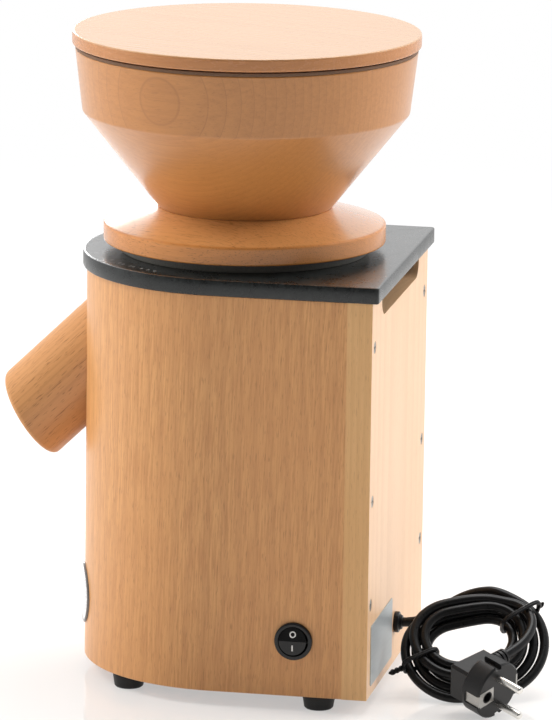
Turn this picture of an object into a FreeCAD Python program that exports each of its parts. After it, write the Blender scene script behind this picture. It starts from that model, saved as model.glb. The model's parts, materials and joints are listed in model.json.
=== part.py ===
import FreeCAD, Part
import math
import os

# Electric stone flour mill: wooden cabinet with a rounded front, slanted spout, screw-adjusted hopper.
# Millimetres. +Z up, spout towards -Y, switch on the +X side, cord at the back (+Y).
# Everything is drawn about the mill axis (x = y = 0) and moved along Y at the end, so that the
# origin is the middle of the object's footprint, on the surface that it stands on.

V = FreeCAD.Vector
UP = V(0, 0, 1)

# Cabinet
FOOT_HEIGHT = 9.0
FOOT_TOP_R = 10.0
FOOT_BOTTOM_R = 9.0
FOOT_INSET = 1.0           # from the foot's edge to the cabinet's edge
FOOT_BACK = 31.5           # rear feet's middle to the back face
FOOT_FRONT_ANGLE = 49.0    # degrees from the front, each side
BODY_HALF = 97.5           # half width, and radius of the rounded front
BODY_DEPTH = 98.7          # mill axis to the back face
BODY_HEIGHT = 248.0
SHELL_WALL = 18.0
PANEL_THICK = 15.5
PLATE_THICK = 10.0
PLATE_OVERHANG = 2.5
PLATE_BACK_OVERHANG = 4.0
PLATE_EDGE = 1.2
BASE_THICK = 12.0
BASE_RECESS = 8.0
BATTEN = 14.0
BATTEN_LENGTH = 60.0
SLOT_WIDTH = 130.0         # hand and vent slot at the top of the back panel
SLOT_HEIGHT = 14.7
SLOT_CORNER = 10.0
BADGE_R = 19.0
BADGE_THICK = 1.6
BADGE_HEIGHT = 48.0
BADGE_ANGLE = 15.4         # degrees from the front towards the switch side

# Hopper
RING_LIP = 6.0             # fixed ring on the plate
RING_LEDGE = 13.0          # lip past the sleeve
RING_SLEEVE = 20.0         # sleeve below the lip
RING_WALL = 6.7
COLLAR_GAP = 0.4
COLLAR_R = 87.5
COLLAR_RIM = 11.2
COLLAR_RISE = 10.3
FUNNEL_BASE_R = 54.0
FUNNEL_CONE = 59.6
FUNNEL_RIM_R = 105.8
FUNNEL_FLARE = 4.6         # rim past the shoulder
FUNNEL_BAND = 38.5
FUNNEL_WALL = 10.0
FUNNEL_SPIGOT_R = 30.0
FUNNEL_SPIGOT = 8.0
LID_R = 107.7
LID_THICK = 8.0
LID_EDGE = 1.5
UNDERLAY_THICK = 3.0
LOCATOR_DEPTH = 9.0
LOCATOR_GAP = 2.0
NECK_SPIGOT_R = 40.0
NECK_SPIGOT = 8.0
NECK_WALL = 12.0           # around the upper stone
FELT_HEIGHT = 5.0
FELT_DEPTH = 3.0
FELT_DROP = 9.0            # from the collar's underside to the felt groove

# Stones and chamber
STONE_THICK = 20.0
STONE_GAP = 0.4            # at the finest setting
STONE_PROUD = 4.0          # upper stone below its holder
EYE_R = 15.0               # grain feed hole
EYE_CHAMFER = 5.0
FURROWS = 10
FURROW_WIDTH = 4.0
FURROW_DEPTH = 1.6
FURROW_LAND = 5.0          # unbroken rim at the stone's edge
FURROW_SLANT = 20.0        # degrees off the radius
CARRIER_THICK = 12.0
CARRIER_LEDGE = 3.0        # past the lower stone's edge
CARRIER_LIFT = 3.0
PADDLES = 4
PADDLE_CLEAR = 3.15        # to the chamber's wall
PADDLE_THICK = 5.0
CHAMBER_WALL = 8.0
CHAMBER_DEPTH = 77.0
CHAMBER_FLOOR = 10.0
FLANGE_CLEAR = 1.5         # to the cabinet's inner wall
FLANGE_LEDGE = 5.85        # past the chamber's wall
FLANGE_THICK = 8.0
NUT_R = 11.0
NUT_HEIGHT = 15.0
CONE_HEIGHT = 11.0
CONE_TIP_R = 4.0

# Spout
SPOUT_R = 29.3
SPOUT_BORE_R = 21.5
SPOUT_BORE_DEPTH = 62.0    # wide bore, from the mouth to its shoulder
OUTLET_R = 20.0            # chamber outlet, and the spout behind the shoulder
SPOUT_TILT = 44.1          # degrees below level
SPOUT_CUT = 10.4           # degrees that the mouth is off square, its lower side longer
SPOUT_HEIGHT = 191.4       # axis where it crosses the front face's radius
SPOUT_LENGTH = 52.9        # past that crossing
SPOUT_ROUND = 3.0

# Motor
BOARD_THICK = 12.0
MOTOR_CLEAR = 5.5          # to the ledges beside it
SHIELD_THICK = 12.0
SHIELD_SKIRT = 12.0
SHIELD_WALL = 9.0
STACK_HEIGHT = 52.0
STACK_BORE_R = 30.5
AIR_GAP = 0.5
WINDING_IN_R = 34.0
YOKE = 12.0                # stack's edge to the windings
WINDING_HEIGHT = 9.5
STATOR_SLOTS = 12
STATOR_SLOT_WIDTH = 5.0
STATOR_SLOT_DEPTH = 12.0
BEARING_R = 17.5
BEARING_BORE_R = 7.5
BEARING_WIDTH = 11.0
SEAT_LIP = 2.0
SEAL_HEIGHT = 6.0
SEAL_R = 12.0
CORE_OVER = 2.0            # rotor core past the stack, each end
SHOULDER_R = 9.0
FAN_INSET = 14.0
FAN_BLADES = 9
FAN_HEIGHT = 14.0
FAN_DROP = 6.0             # below the bottom shield
FAN_HUB_R = 14.0
BOLT_R = 2.5
BOLT_INSET = 4.5
BOLT_HEAD_R = 4.6
BOLT_HEAD = 5.0
PIN_R = 2.5
PIN_LENGTH = 34.0

# Fastenings
SCREW_R = 2.0
SCREW_HEAD_R = 3.8
SCREW_HEAD = 2.6
PANEL_SCREW_INSET = 10.0
PANEL_SCREW_BITE = 22.0    # into the shell
PANEL_SCREW_HEIGHTS = (67.0, 132.0, 228.0)

# Switch and electrics
SWITCH_BACK = 45.7         # switch axis to the back face
SWITCH_HEIGHT = 44.1
SWITCH_BEZEL_R = 11.8
SWITCH_BEZEL = 2.2
SWITCH_BARREL_R = 10.2
SWITCH_DEPTH = 27.0
SWITCH_OPENING_R = 9.2
SWITCH_POCKET = 9.0
ROCKER_R = 8.5
ROCKER_RISE = 3.2          # crest above the bezel's seat
ROCKER_DEPTH = 3.0
ROCKER_SWING = 16.0        # degrees between off and on
TRUNNION_R = 1.1
TRUNNION_LENGTH = 0.75
TAB_LENGTH = 8.0
TAB_WIDTH = 4.8
TAB_THICK = 0.8
CAPACITOR_R = 17.5
CAPACITOR_HEIGHT = 45.0
CAPACITOR_CLEAR = 6.0      # to the cabinet's inner wall
CAPACITOR_BACK = 24.0      # its axis to the back panel
CAPACITOR_STUD_R = 4.0
BLOCK_SIZE = (22.0, 26.0, 16.0)
BLOCK_CLEAR = 31.5         # to the cabinet's inner wall
BLOCK_BACK = 4.0           # to the back panel
WIRE_R = 1.4

# Cord, grommet and plug
CORD_D = 6.0
GROMMET_HEIGHT = 34.3
GROMMET_FLANGE_R = 6.6
GROMMET_FLANGE = 3.0
GROMMET_BARREL_R = 5.2
GROMMET_NOSE = 2.0
GROMMET_NOSE_R = 4.2
GROMMET_INNER = 4.0        # past the panel's inner face
CLAMP_SIZE = (9.0, 14.0, 12.0)
CLAMP_GAP = 5.0            # to the terminal block
CORD_ENTRY = 12.0          # cord into the terminal block, from the block's front edge
SLEEVE_WIRE_R = 2.5        # insulating sleeve on the stator's leads
SLEEVE_HOLE = 0.5
PLUG_R = 18.5
PLUG_DEPTH = 29.0
PLUG_FRONT = 14.0          # round part behind the face
PLUG_EDGE = 1.0
PLUG_GUIDE_WIDTH = 5.0     # guide grooves, one each side of the pins
PLUG_GUIDE_DEPTH = 3.0
GRIP_HEAD = 13.0           # housing behind the round part, from the axis to its closed end
GRIP_HEIGHT = 25.0         # there, across the pins
GRIP_TAIL = 18.0           # from the axis to its cord end
GRIP_TAIL_HEIGHT = 17.0
GRIP_TAIL_FRONT = 13.5     # front of that end, behind the face
GRIP_EDGE = 1.8
PLUG_ARM_BACK = 21.5       # cord axis behind the plug's face
PLUG_ARM_LENGTH = 29.0
PLUG_ARM_R = 7.0
PLUG_ARM_END_R = 5.0
PLUG_RIBS = 4
PLUG_RIB_STEP = 3.0
PLUG_RIB_WIDTH = 1.2
PLUG_RIB_DEPTH = 1.1
PIN_SPACING = 19.0
PIN_DIAMETER = 4.8
PIN_REACH = 19.0
EARTH_HOLE_R = 3.2
EARTH_HOLE_OFFSET = 9.5
EARTH_HOLE_DEPTH = 15.0
EARTH_WIDTH = 8.0
EARTH_THICK = 1.2
EARTH_LENGTH = 11.0
EARTH_RECESS = 2.4
EARTH_LAND = 0.6           # plug's face left round the earth hole
EARTH_TONGUE_WIDTH = 10.4
EARTH_TONGUE = 5.5         # past the earth hole's middle
LEAD_STRAIGHT = 7.8        # cord straight out of the grommet, before it bends
COIL_IN_STRAIGHT = 8.5
COIL_OUT_STRAIGHT = 7.0
ARM_STRAIGHT = 9.0         # straight into the plug's arm
TIE_WIDTH = 4.0
TIE_THICK = 0.9

# Clearances
FIT = 0.15                 # fixed pieces in their seats
PRESS = 0.05               # bearings, cores and pins in their seats
RUN = 0.05                 # shaft in its bearings
THREAD_CLEAR = 0.3         # turning hopper in the fixed ring
HOLE = 0.15                # bolts and screws in their holes

# Levels and radii that follow
CORD_R = CORD_D / 2
BODY_BOTTOM = FOOT_HEIGHT
BODY_TOP = BODY_BOTTOM + BODY_HEIGHT
SEAM_Y = BODY_DEPTH - PANEL_THICK
INNER_HALF = BODY_HALF - SHELL_WALL
PLATE_TOP = BODY_TOP + PLATE_THICK
RING_TOP = PLATE_TOP + RING_LIP
COLLAR_BOTTOM = RING_TOP + COLLAR_GAP
COLLAR_SHOULDER = COLLAR_BOTTOM + COLLAR_RIM
COLLAR_TOP = COLLAR_SHOULDER + COLLAR_RISE
SHOULDER_TOP = COLLAR_TOP + FUNNEL_CONE
RIM_TOP = SHOULDER_TOP + FUNNEL_BAND
LID_BOTTOM = RIM_TOP + UNDERLAY_THICK
LID_TOP = LID_BOTTOM + LID_THICK
BASE_BOTTOM = BODY_BOTTOM + BASE_RECESS
BASE_TOP = BASE_BOTTOM + BASE_THICK
FUNNEL_SHOULDER_R = FUNNEL_RIM_R - FUNNEL_FLARE
FLANGE_R = INNER_HALF - FLANGE_CLEAR
CHAMBER_R = FLANGE_R - FLANGE_LEDGE
CHAMBER_IN_R = CHAMBER_R - CHAMBER_WALL
SLEEVE_R = CHAMBER_IN_R - FIT
RING_R = SLEEVE_R + RING_LEDGE
RING_BORE_R = SLEEVE_R - RING_WALL
NECK_R = RING_BORE_R - THREAD_CLEAR
STONE_R = NECK_R - NECK_WALL
CARRIER_R = STONE_R + CARRIER_LEDGE
PADDLE_REACH = CHAMBER_IN_R - PADDLE_CLEAR
MOTOR_R = INNER_HALF - BATTEN - MOTOR_CLEAR
WINDING_OUT_R = MOTOR_R - YOKE
BOLT_CIRCLE_R = MOTOR_R - BOLT_INSET
FAN_R = MOTOR_R - FAN_INSET
CAPACITOR_X = CAPACITOR_R + CAPACITOR_CLEAR - INNER_HALF
BLOCK_X = INNER_HALF - BLOCK_CLEAR - BLOCK_SIZE[0]
CLAMP_X = BLOCK_X - CLAMP_GAP - CLAMP_SIZE[0]
FOOT_REAR_Y = BODY_DEPTH - FOOT_BACK
SWITCH_Y = BODY_DEPTH - SWITCH_BACK
CAPACITOR_Y = SEAM_Y - CAPACITOR_BACK
BLOCK_Y = SEAM_Y - BLOCK_BACK - BLOCK_SIZE[1]
INNER_CORD_Y = BLOCK_Y + CORD_ENTRY
CHAMBER_BOTTOM = BODY_TOP - CHAMBER_DEPTH
CAVITY_FLOOR = CHAMBER_BOTTOM + CHAMBER_FLOOR
CARRIER_BOTTOM = CAVITY_FLOOR + CARRIER_LIFT
CARRIER_TOP = CARRIER_BOTTOM + CARRIER_THICK
LOWER_STONE_TOP = CARRIER_TOP + STONE_THICK
UPPER_STONE_BOTTOM = LOWER_STONE_TOP + STONE_GAP
UPPER_STONE_TOP = UPPER_STONE_BOTTOM + STONE_THICK
NECK_BOTTOM = UPPER_STONE_BOTTOM + STONE_PROUD
FELT_TOP = COLLAR_BOTTOM - FELT_DROP
FELT_BOTTOM = FELT_TOP - FELT_HEIGHT
BOARD_TOP = CHAMBER_BOTTOM
BOARD_BOTTOM = BOARD_TOP - BOARD_THICK
TOP_SEAT = BOARD_BOTTOM - SEAT_LIP
STACK_TOP = BOARD_BOTTOM - SHIELD_THICK - SHIELD_SKIRT
STACK_BOTTOM = STACK_TOP - STACK_HEIGHT
SHIELD_BOTTOM = STACK_BOTTOM - SHIELD_SKIRT - SHIELD_THICK
BOTTOM_SEAT = SHIELD_BOTTOM + SEAT_LIP
FAN_TOP = SHIELD_BOTTOM - FAN_DROP
FAN_BOTTOM = FAN_TOP - FAN_HEIGHT
SHAFT_BOTTOM = FAN_BOTTOM - FIT
SHAFT_TOP = CARRIER_TOP + NUT_HEIGHT
TILT, CUT = math.radians(SPOUT_TILT), math.radians(SPOUT_CUT)
SPOUT_DIR = V(0, -math.cos(TILT), -math.sin(TILT))
SPOUT_TOP_DIR = V(0, -math.sin(TILT), math.cos(TILT))
MOUTH_DIR = SPOUT_DIR * math.cos(CUT) + SPOUT_TOP_DIR * math.sin(CUT)
SPOUT_CROSS = V(0, -BODY_HALF, SPOUT_HEIGHT)
SPOUT_END = SPOUT_CROSS + SPOUT_DIR * SPOUT_LENGTH
RIM_IN = SPOUT_R - SPOUT_ROUND
RIM_BACK = (SPOUT_ROUND + RIM_IN * math.sin(CUT)) / math.cos(CUT)
SPOUT_REACH = SPOUT_ROUND - (SPOUT_END + SPOUT_TOP_DIR * RIM_IN - SPOUT_DIR * RIM_BACK).y
ORIGIN_SHIFT = V(0, (SPOUT_REACH - LID_R) / 2, 0)
FOOT_OUT = BODY_HALF - FOOT_INSET - FOOT_TOP_R
GROMMET_TIP_Y = BODY_DEPTH + GROMMET_FLANGE + GROMMET_NOSE


def radians(degrees):
    return degrees * math.pi / 180


def cylinder(radius, bottom, top, x=0.0, y=0.0):
    return Part.makeCylinder(radius, top - bottom, V(x, y, bottom), UP)


def ring(outer, inner, bottom, top):
    return cylinder(outer, bottom, top).cut(cylinder(inner, bottom - 1, top + 1))


def block(x0, x1, y0, y1, z0, z1):
    return Part.makeBox(x1 - x0, y1 - y0, z1 - z0, V(x0, y0, z0))


def rod(start, direction, length, radius):
    return Part.makeCylinder(radius, length, start, direction)


def turned(profile):
    """Solid turned from (radius, height) points about the mill axis."""
    points = [V(r, 0, z) for r, z in profile]
    face = Part.Face(Part.makePolygon(points + points[:1]))
    return face.revolve(V(0, 0, 0), UP, 360)


def around(count, start=0.0):
    """Evenly spaced angles in degrees."""
    return [start + 360.0 * k / count for k in range(count)]


def polar(radius, degrees, z=0.0):
    return V(radius * math.cos(radians(degrees)), radius * math.sin(radians(degrees)), z)


def turn_copy(shape, degrees):
    copy = shape.copy()
    copy.rotate(V(0, 0, 0), UP, degrees)
    return copy


def d_shape(half, back, bottom, top):
    """Prism with a half-round front about the mill axis, straight sides and a flat back."""
    right, left, front = V(half, 0, bottom), V(-half, 0, bottom), V(0, -half, bottom)
    right_back, left_back = V(half, back, bottom), V(-half, back, bottom)
    edges = [
        Part.LineSegment(right_back, right).toShape(),
        Part.Arc(right, front, left).toShape(),
        Part.LineSegment(left, left_back).toShape(),
        Part.LineSegment(left_back, right_back).toShape(),
    ]
    return Part.Face(Part.Wire(edges)).extrude(V(0, 0, top - bottom))


def save(name, *solids):
    shape = solids[0] if len(solids) == 1 else Part.makeCompound(solids)
    moved = shape.copy()
    moved.translate(ORIGIN_SHIFT)
    moved.exportStep("parts/" + name + ".step")
    return shape


# Fastenings

def screw_up(x, y, head_bottom, length):
    """Screw driven upwards, with its head at the lower end."""
    head = cylinder(SCREW_HEAD_R, head_bottom, head_bottom + SCREW_HEAD, x, y)
    return head.fuse(cylinder(SCREW_R, head_bottom, head_bottom + length, x, y)).removeSplitter()


def screw_down(x, y, head_top, length):
    """Screw driven downwards, with its head at the upper end."""
    head = cylinder(SCREW_HEAD_R, head_top - SCREW_HEAD, head_top, x, y)
    return head.fuse(cylinder(SCREW_R, head_top - length, head_top, x, y)).removeSplitter()


def screw_room(x, y, head_bottom, length, upwards=True):
    """Clearance hole and head recess for one of the screws above."""
    low = head_bottom if upwards else head_bottom - length + SCREW_HEAD
    head_low = head_bottom - 0.01 if upwards else head_bottom
    shank = cylinder(SCREW_R + HOLE, low - 0.01, low + length + HOLE, x, y)
    return shank.fuse(cylinder(SCREW_HEAD_R + HOLE, head_low - HOLE, head_low + SCREW_HEAD + HOLE, x, y))


# Places that several pieces share

FEET = [(side * FOOT_OUT, FOOT_REAR_Y) for side in (-1, 1)] + [
    (side * FOOT_OUT * math.sin(radians(FOOT_FRONT_ANGLE)), -FOOT_OUT * math.cos(radians(FOOT_FRONT_ANGLE)))
    for side in (-1, 1)
]
FOOT_SCREW_BOTTOM = 3.0
FOOT_SCREW_LENGTH = 30.0
PANEL_SCREWS = [(side * (BODY_HALF - PANEL_SCREW_INSET), z) for side in (-1, 1) for z in PANEL_SCREW_HEIGHTS]
PANEL_SCREW_LENGTH = PANEL_THICK + PANEL_SCREW_BITE
BATTEN_Y = (-BATTEN_LENGTH / 2, BATTEN_LENGTH / 2)
BATTEN_SCREWS = [
    (sx * (INNER_HALF - BATTEN / 2), sy * BATTEN_LENGTH / 3) for sx in (-1, 1) for sy in (-1, 1)
]
BASE_SCREW_LENGTH = BASE_THICK + BATTEN * 0.7
BOARD_SCREW_LENGTH = BOARD_THICK + BATTEN * 0.7
FLANGE_SCREW_R = (CHAMBER_R + FLANGE_R) / 2
FLANGE_SCREWS = [polar(FLANGE_SCREW_R, a) for a in around(4, 45.0)]
FLANGE_SCREW_LENGTH = FLANGE_THICK + PLATE_THICK * 0.6
RING_SCREW_R = (SLEEVE_R + RING_R) / 2
RING_SCREWS = [polar(RING_SCREW_R, a) for a in around(4)]
RING_SCREW_LENGTH = RING_LIP + PLATE_THICK * 0.7
NECK_SCREW_R = (FUNNEL_SPIGOT_R + NECK_SPIGOT_R) / 2
NECK_SCREWS = [polar(NECK_SCREW_R, a) for a in around(4, 45.0)]
NECK_SCREW_LENGTH = COLLAR_BOTTOM - UPPER_STONE_TOP + COLLAR_RIM + NECK_SPIGOT * 0.5
BOLTS = [polar(BOLT_CIRCLE_R, a) for a in around(4)]
SWITCH_SEAT = V(BODY_HALF, SWITCH_Y, SWITCH_HEIGHT)
INWARD = V(-1, 0, 0)


def spout_envelope(radius, clear):
    """Straight cylinder along the spout's axis, from well inside the chamber to past its mouth."""
    inside = BODY_HALF / math.cos(TILT)
    return rod(SPOUT_CROSS - SPOUT_DIR * inside, SPOUT_DIR, inside + SPOUT_LENGTH + SPOUT_R, radius + clear)


# Cabinet pieces

def side_shell():
    shell = d_shape(BODY_HALF, SEAM_Y, BODY_BOTTOM, BODY_TOP)
    shell = shell.cut(d_shape(INNER_HALF, SEAM_Y + 1, BODY_BOTTOM - 1, BODY_TOP + 1))
    shell = shell.cut(spout_envelope(SPOUT_R, FIT))
    barrel_room = rod(SWITCH_SEAT - INWARD, INWARD, SHELL_WALL + 2, SWITCH_BARREL_R + FIT)
    shell = shell.cut(barrel_room)
    for x, y in FEET:
        shell = shell.cut(screw_hole(x, y, FOOT_SCREW_BOTTOM, FOOT_SCREW_LENGTH))
    for x, z in PANEL_SCREWS:
        shell = shell.cut(rod(V(x, BODY_DEPTH, z), V(0, -1, 0), PANEL_SCREW_LENGTH + HOLE, SCREW_R + HOLE))
    return shell


def screw_hole(x, y, bottom, length):
    return cylinder(SCREW_R + HOLE, bottom - 0.01, bottom + length + HOLE, x, y)


def slot_cutter():
    """Hand and vent slot: open at the top, rounded lower corners."""
    low = BODY_TOP - SLOT_HEIGHT
    wide = block(-SLOT_WIDTH / 2, SLOT_WIDTH / 2, SEAM_Y - 1, BODY_DEPTH + 1, low, BODY_TOP + SLOT_CORNER)
    lower = [e for e in wide.Edges if abs(e.BoundBox.ZMax - low) < 0.01 and e.BoundBox.YLength > PANEL_THICK]
    return wide.makeFillet(SLOT_CORNER, lower)


def back_panel():
    panel = block(-BODY_HALF, BODY_HALF, SEAM_Y, BODY_DEPTH, BODY_BOTTOM, BODY_TOP)
    panel = panel.cut(slot_cutter())
    for x, z in PANEL_SCREWS:
        panel = panel.cut(rod(V(x, BODY_DEPTH + 1, z), V(0, -1, 0), PANEL_THICK + 2, SCREW_R + HOLE))
        head_room = rod(V(x, BODY_DEPTH + 1, z), V(0, -1, 0), SCREW_HEAD + 1 + HOLE, SCREW_HEAD_R + HOLE)
        panel = panel.cut(head_room)
    hole = rod(V(0, SEAM_Y - 1, GROMMET_HEIGHT), V(0, 1, 0), PANEL_THICK + 2, GROMMET_BARREL_R + FIT)
    return panel.cut(hole)


def back_panel_screws():
    screws = []
    for x, z in PANEL_SCREWS:
        head = rod(V(x, BODY_DEPTH, z), V(0, -1, 0), SCREW_HEAD, SCREW_HEAD_R)
        shank = rod(V(x, BODY_DEPTH, z), V(0, -1, 0), PANEL_SCREW_LENGTH, SCREW_R)
        screws.append(head.fuse(shank).removeSplitter())
    return screws


def top_plate():
    plate = d_shape(BODY_HALF + PLATE_OVERHANG, BODY_DEPTH + PLATE_BACK_OVERHANG, BODY_TOP, PLATE_TOP)
    rims = [e for e in plate.Edges if e.BoundBox.ZLength < 0.01]
    plate = plate.makeFillet(PLATE_EDGE, rims)
    plate = plate.cut(cylinder(SLEEVE_R + FIT, BODY_TOP - 1, PLATE_TOP + 1))
    for spot in RING_SCREWS:
        depth = RING_SCREW_LENGTH - RING_LIP
        plate = plate.cut(cylinder(SCREW_R + HOLE, PLATE_TOP - depth - HOLE, PLATE_TOP + 1, spot.x, spot.y))
    for spot in FLANGE_SCREWS:
        depth = FLANGE_SCREW_LENGTH - FLANGE_THICK
        plate = plate.cut(cylinder(SCREW_R + HOLE, BODY_TOP - 1, BODY_TOP + depth + HOLE, spot.x, spot.y))
    return plate


def base_plate():
    base = d_shape(INNER_HALF - FIT, SEAM_Y - FIT, BASE_BOTTOM, BASE_TOP)
    for radius, count in ((18.0, 6), (32.0, 12), (46.0, 18)):
        for a in around(count):
            spot = polar(radius, a)
            base = base.cut(cylinder(3.5, BASE_BOTTOM - 1, BASE_TOP + 1, spot.x, spot.y))
    stud_room = cylinder(CAPACITOR_STUD_R + HOLE, BASE_BOTTOM - 1, BASE_TOP + 1, CAPACITOR_X, CAPACITOR_Y)
    base = base.cut(stud_room)
    for x, y in BATTEN_SCREWS:
        base = base.cut(screw_room(x, y, BASE_BOTTOM, BASE_SCREW_LENGTH))
    return base


def battens(bottom):
    low_y, high_y = BATTEN_Y
    right = block(INNER_HALF - BATTEN, INNER_HALF, low_y, high_y, bottom, bottom + BATTEN)
    inner = d_shape(INNER_HALF - FIT, SEAM_Y, bottom, bottom + BATTEN)
    right = right.common(inner)
    left = right.mirror(V(0, 0, 0), V(1, 0, 0))
    return [left, right]


def base_battens():
    pieces = battens(BASE_TOP)
    for x, y in BATTEN_SCREWS:
        pieces = [p.cut(screw_hole(x, y, BASE_BOTTOM, BASE_SCREW_LENGTH)) for p in pieces]
    return pieces


def base_screws():
    return [screw_up(x, y, BASE_BOTTOM, BASE_SCREW_LENGTH) for x, y in BATTEN_SCREWS]


def rubber_feet():
    head_room = SCREW_HEAD_R + 1.0
    head_top = FOOT_SCREW_BOTTOM + SCREW_HEAD
    foot = turned([
        (SCREW_R + HOLE, FOOT_HEIGHT), (FOOT_TOP_R, FOOT_HEIGHT), (FOOT_TOP_R, FOOT_HEIGHT - 2),
        (FOOT_BOTTOM_R, 1.0), (FOOT_BOTTOM_R - 1.0, 0.0), (head_room, 0.0), (head_room, head_top),
        (SCREW_R + HOLE, head_top),
    ])
    feet = []
    for x, y in FEET:
        copy = foot.copy()
        copy.translate(V(x, y, 0))
        feet.append(copy)
    return feet


def foot_screws():
    return [screw_up(x, y, FOOT_SCREW_BOTTOM, FOOT_SCREW_LENGTH) for x, y in FEET]


def front_badge():
    """Thin round badge that follows the curved front."""
    plug = rod(V(0, 0, BADGE_HEIGHT), V(0, -1, 0), BODY_HALF + BADGE_THICK + 1, BADGE_R)
    low, high = BADGE_HEIGHT - BADGE_R - 1, BADGE_HEIGHT + BADGE_R + 1
    sheet = ring(BODY_HALF + BADGE_THICK, BODY_HALF + PRESS, low, high)
    return turn_copy(plug.common(sheet), BADGE_ANGLE)


def spout():
    tube = spout_envelope(SPOUT_R, 0).cut(spout_envelope(OUTLET_R, 0))
    past_mouth = SPOUT_END + SPOUT_DIR * SPOUT_R
    tube = tube.cut(rod(past_mouth, SPOUT_DIR * -1, SPOUT_R + SPOUT_BORE_DEPTH, SPOUT_BORE_R))
    tube = tube.cut(rod(SPOUT_END, MOUTH_DIR, 2 * SPOUT_R, 2 * SPOUT_R))
    tube = tube.cut(cylinder(CHAMBER_R + FIT, 0, LID_TOP))
    rims = [e for e in tube.Edges if (e.CenterOfMass - SPOUT_END).Length < 0.5 and e.Closed]
    outer = max(rims, key=lambda e: e.Length)
    solids = tube.makeFillet(SPOUT_ROUND, [outer]).Solids
    return min(solids, key=lambda s: s.CenterOfMass.y)


# Milling chamber

def threaded_ring():
    body = ring(RING_R, RING_BORE_R, PLATE_TOP, RING_TOP)
    body = body.fuse(ring(SLEEVE_R, RING_BORE_R, PLATE_TOP - RING_SLEEVE, RING_TOP)).removeSplitter()
    for spot in RING_SCREWS:
        room = screw_room(spot.x, spot.y, RING_TOP - SCREW_HEAD, RING_SCREW_LENGTH, upwards=False)
        body = body.cut(room)
    return body


def ring_screws():
    return [screw_down(s.x, s.y, RING_TOP, RING_SCREW_LENGTH) for s in RING_SCREWS]


def grinding_chamber():
    cup = ring(CHAMBER_R, CHAMBER_IN_R, CAVITY_FLOOR, BODY_TOP)
    cup = cup.fuse(cylinder(CHAMBER_R, CHAMBER_BOTTOM, CAVITY_FLOOR))
    notch = SPOUT_R + FIT
    flange = ring(FLANGE_R, CHAMBER_IN_R, BODY_TOP - FLANGE_THICK, BODY_TOP)
    flange = flange.cut(block(-notch, notch, -BODY_HALF, 0, BODY_TOP - FLANGE_THICK - 1, BODY_TOP + 1))
    cup = cup.fuse(flange).removeSplitter()
    outlet = spout_envelope(OUTLET_R, 0).common(block(
        -BODY_HALF, BODY_HALF, -BODY_HALF, -CHAMBER_IN_R / 2, CAVITY_FLOOR, BODY_TOP - PLATE_THICK))
    cup = cup.cut(outlet)
    cup = cup.cut(cylinder(BEARING_BORE_R + 1.0, CHAMBER_BOTTOM - 1, CAVITY_FLOOR + 1))
    cup = cup.cut(cylinder(SEAL_R + FIT, CAVITY_FLOOR - SEAL_HEIGHT, CAVITY_FLOOR + 1))
    for spot in FLANGE_SCREWS:
        cup = cup.cut(cylinder(SCREW_R + HOLE, BODY_TOP - FLANGE_THICK - 1, BODY_TOP + 1, spot.x, spot.y))
        head = cylinder(SCREW_HEAD_R + FIT, CAVITY_FLOOR, BODY_TOP - FLANGE_THICK, spot.x, spot.y)
        cup = cup.cut(head)
    return cup


def chamber_screws():
    head_bottom = BODY_TOP - FLANGE_THICK - SCREW_HEAD
    return [screw_up(s.x, s.y, head_bottom, FLANGE_SCREW_LENGTH + SCREW_HEAD) for s in FLANGE_SCREWS]


def shaft_seal():
    return ring(SEAL_R, BEARING_BORE_R + RUN, CAVITY_FLOOR - SEAL_HEIGHT, CAVITY_FLOOR)


# Motor

def motor_board():
    board = d_shape(INNER_HALF - FIT, SEAM_Y - FIT, BOARD_BOTTOM, BOARD_TOP)
    board = board.cut(spout_envelope(SPOUT_R, FIT))
    board = board.cut(cylinder(BEARING_R, BOARD_BOTTOM - 1, BOARD_TOP + 1))
    for bolt in BOLTS:
        head_low = BOARD_TOP - BOLT_HEAD - HOLE
        board = board.cut(cylinder(BOLT_R + HOLE, BOARD_BOTTOM - 1, BOARD_TOP + 1, bolt.x, bolt.y))
        board = board.cut(cylinder(BOLT_HEAD_R + HOLE, head_low, BOARD_TOP + 1, bolt.x, bolt.y))
    for x, y in BATTEN_SCREWS:
        board = board.cut(screw_room(x, y, BOARD_TOP - SCREW_HEAD, BOARD_SCREW_LENGTH, upwards=False))
    return max(board.Solids, key=lambda s: s.Volume)


def board_ledges():
    pieces = battens(BOARD_BOTTOM - BATTEN)
    for x, y in BATTEN_SCREWS:
        low = BOARD_TOP - BOARD_SCREW_LENGTH
        pieces = [p.cut(screw_hole(x, y, low - HOLE, BOARD_SCREW_LENGTH)) for p in pieces]
    return pieces


def board_screws():
    return [screw_down(x, y, BOARD_TOP, BOARD_SCREW_LENGTH) for x, y in BATTEN_SCREWS]


def motor_shield():
    """Cast end shield: disc with a skirt towards the stack and a bearing seat, drawn as the top one."""
    skirt_bottom = STACK_TOP
    disc_bottom = STACK_TOP + SHIELD_SKIRT
    shield = cylinder(MOTOR_R, disc_bottom, BOARD_BOTTOM)
    shield = shield.fuse(ring(MOTOR_R, MOTOR_R - SHIELD_WALL, skirt_bottom, disc_bottom)).removeSplitter()
    shield = shield.cut(cylinder(BEARING_R + PRESS, disc_bottom - 1, TOP_SEAT))
    shield = shield.cut(cylinder(SEAL_R, disc_bottom, BOARD_BOTTOM + 1))
    for a in around(6, 15.0):
        spot = polar((BEARING_R + MOTOR_R - SHIELD_WALL) / 2, a)
        shield = shield.cut(cylinder(6.0, disc_bottom - 1, BOARD_BOTTOM + 1, spot.x, spot.y))
    for bolt in BOLTS:
        shield = shield.cut(cylinder(BOLT_R + HOLE, skirt_bottom - 1, BOARD_BOTTOM + 1, bolt.x, bolt.y))
    return shield


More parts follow.
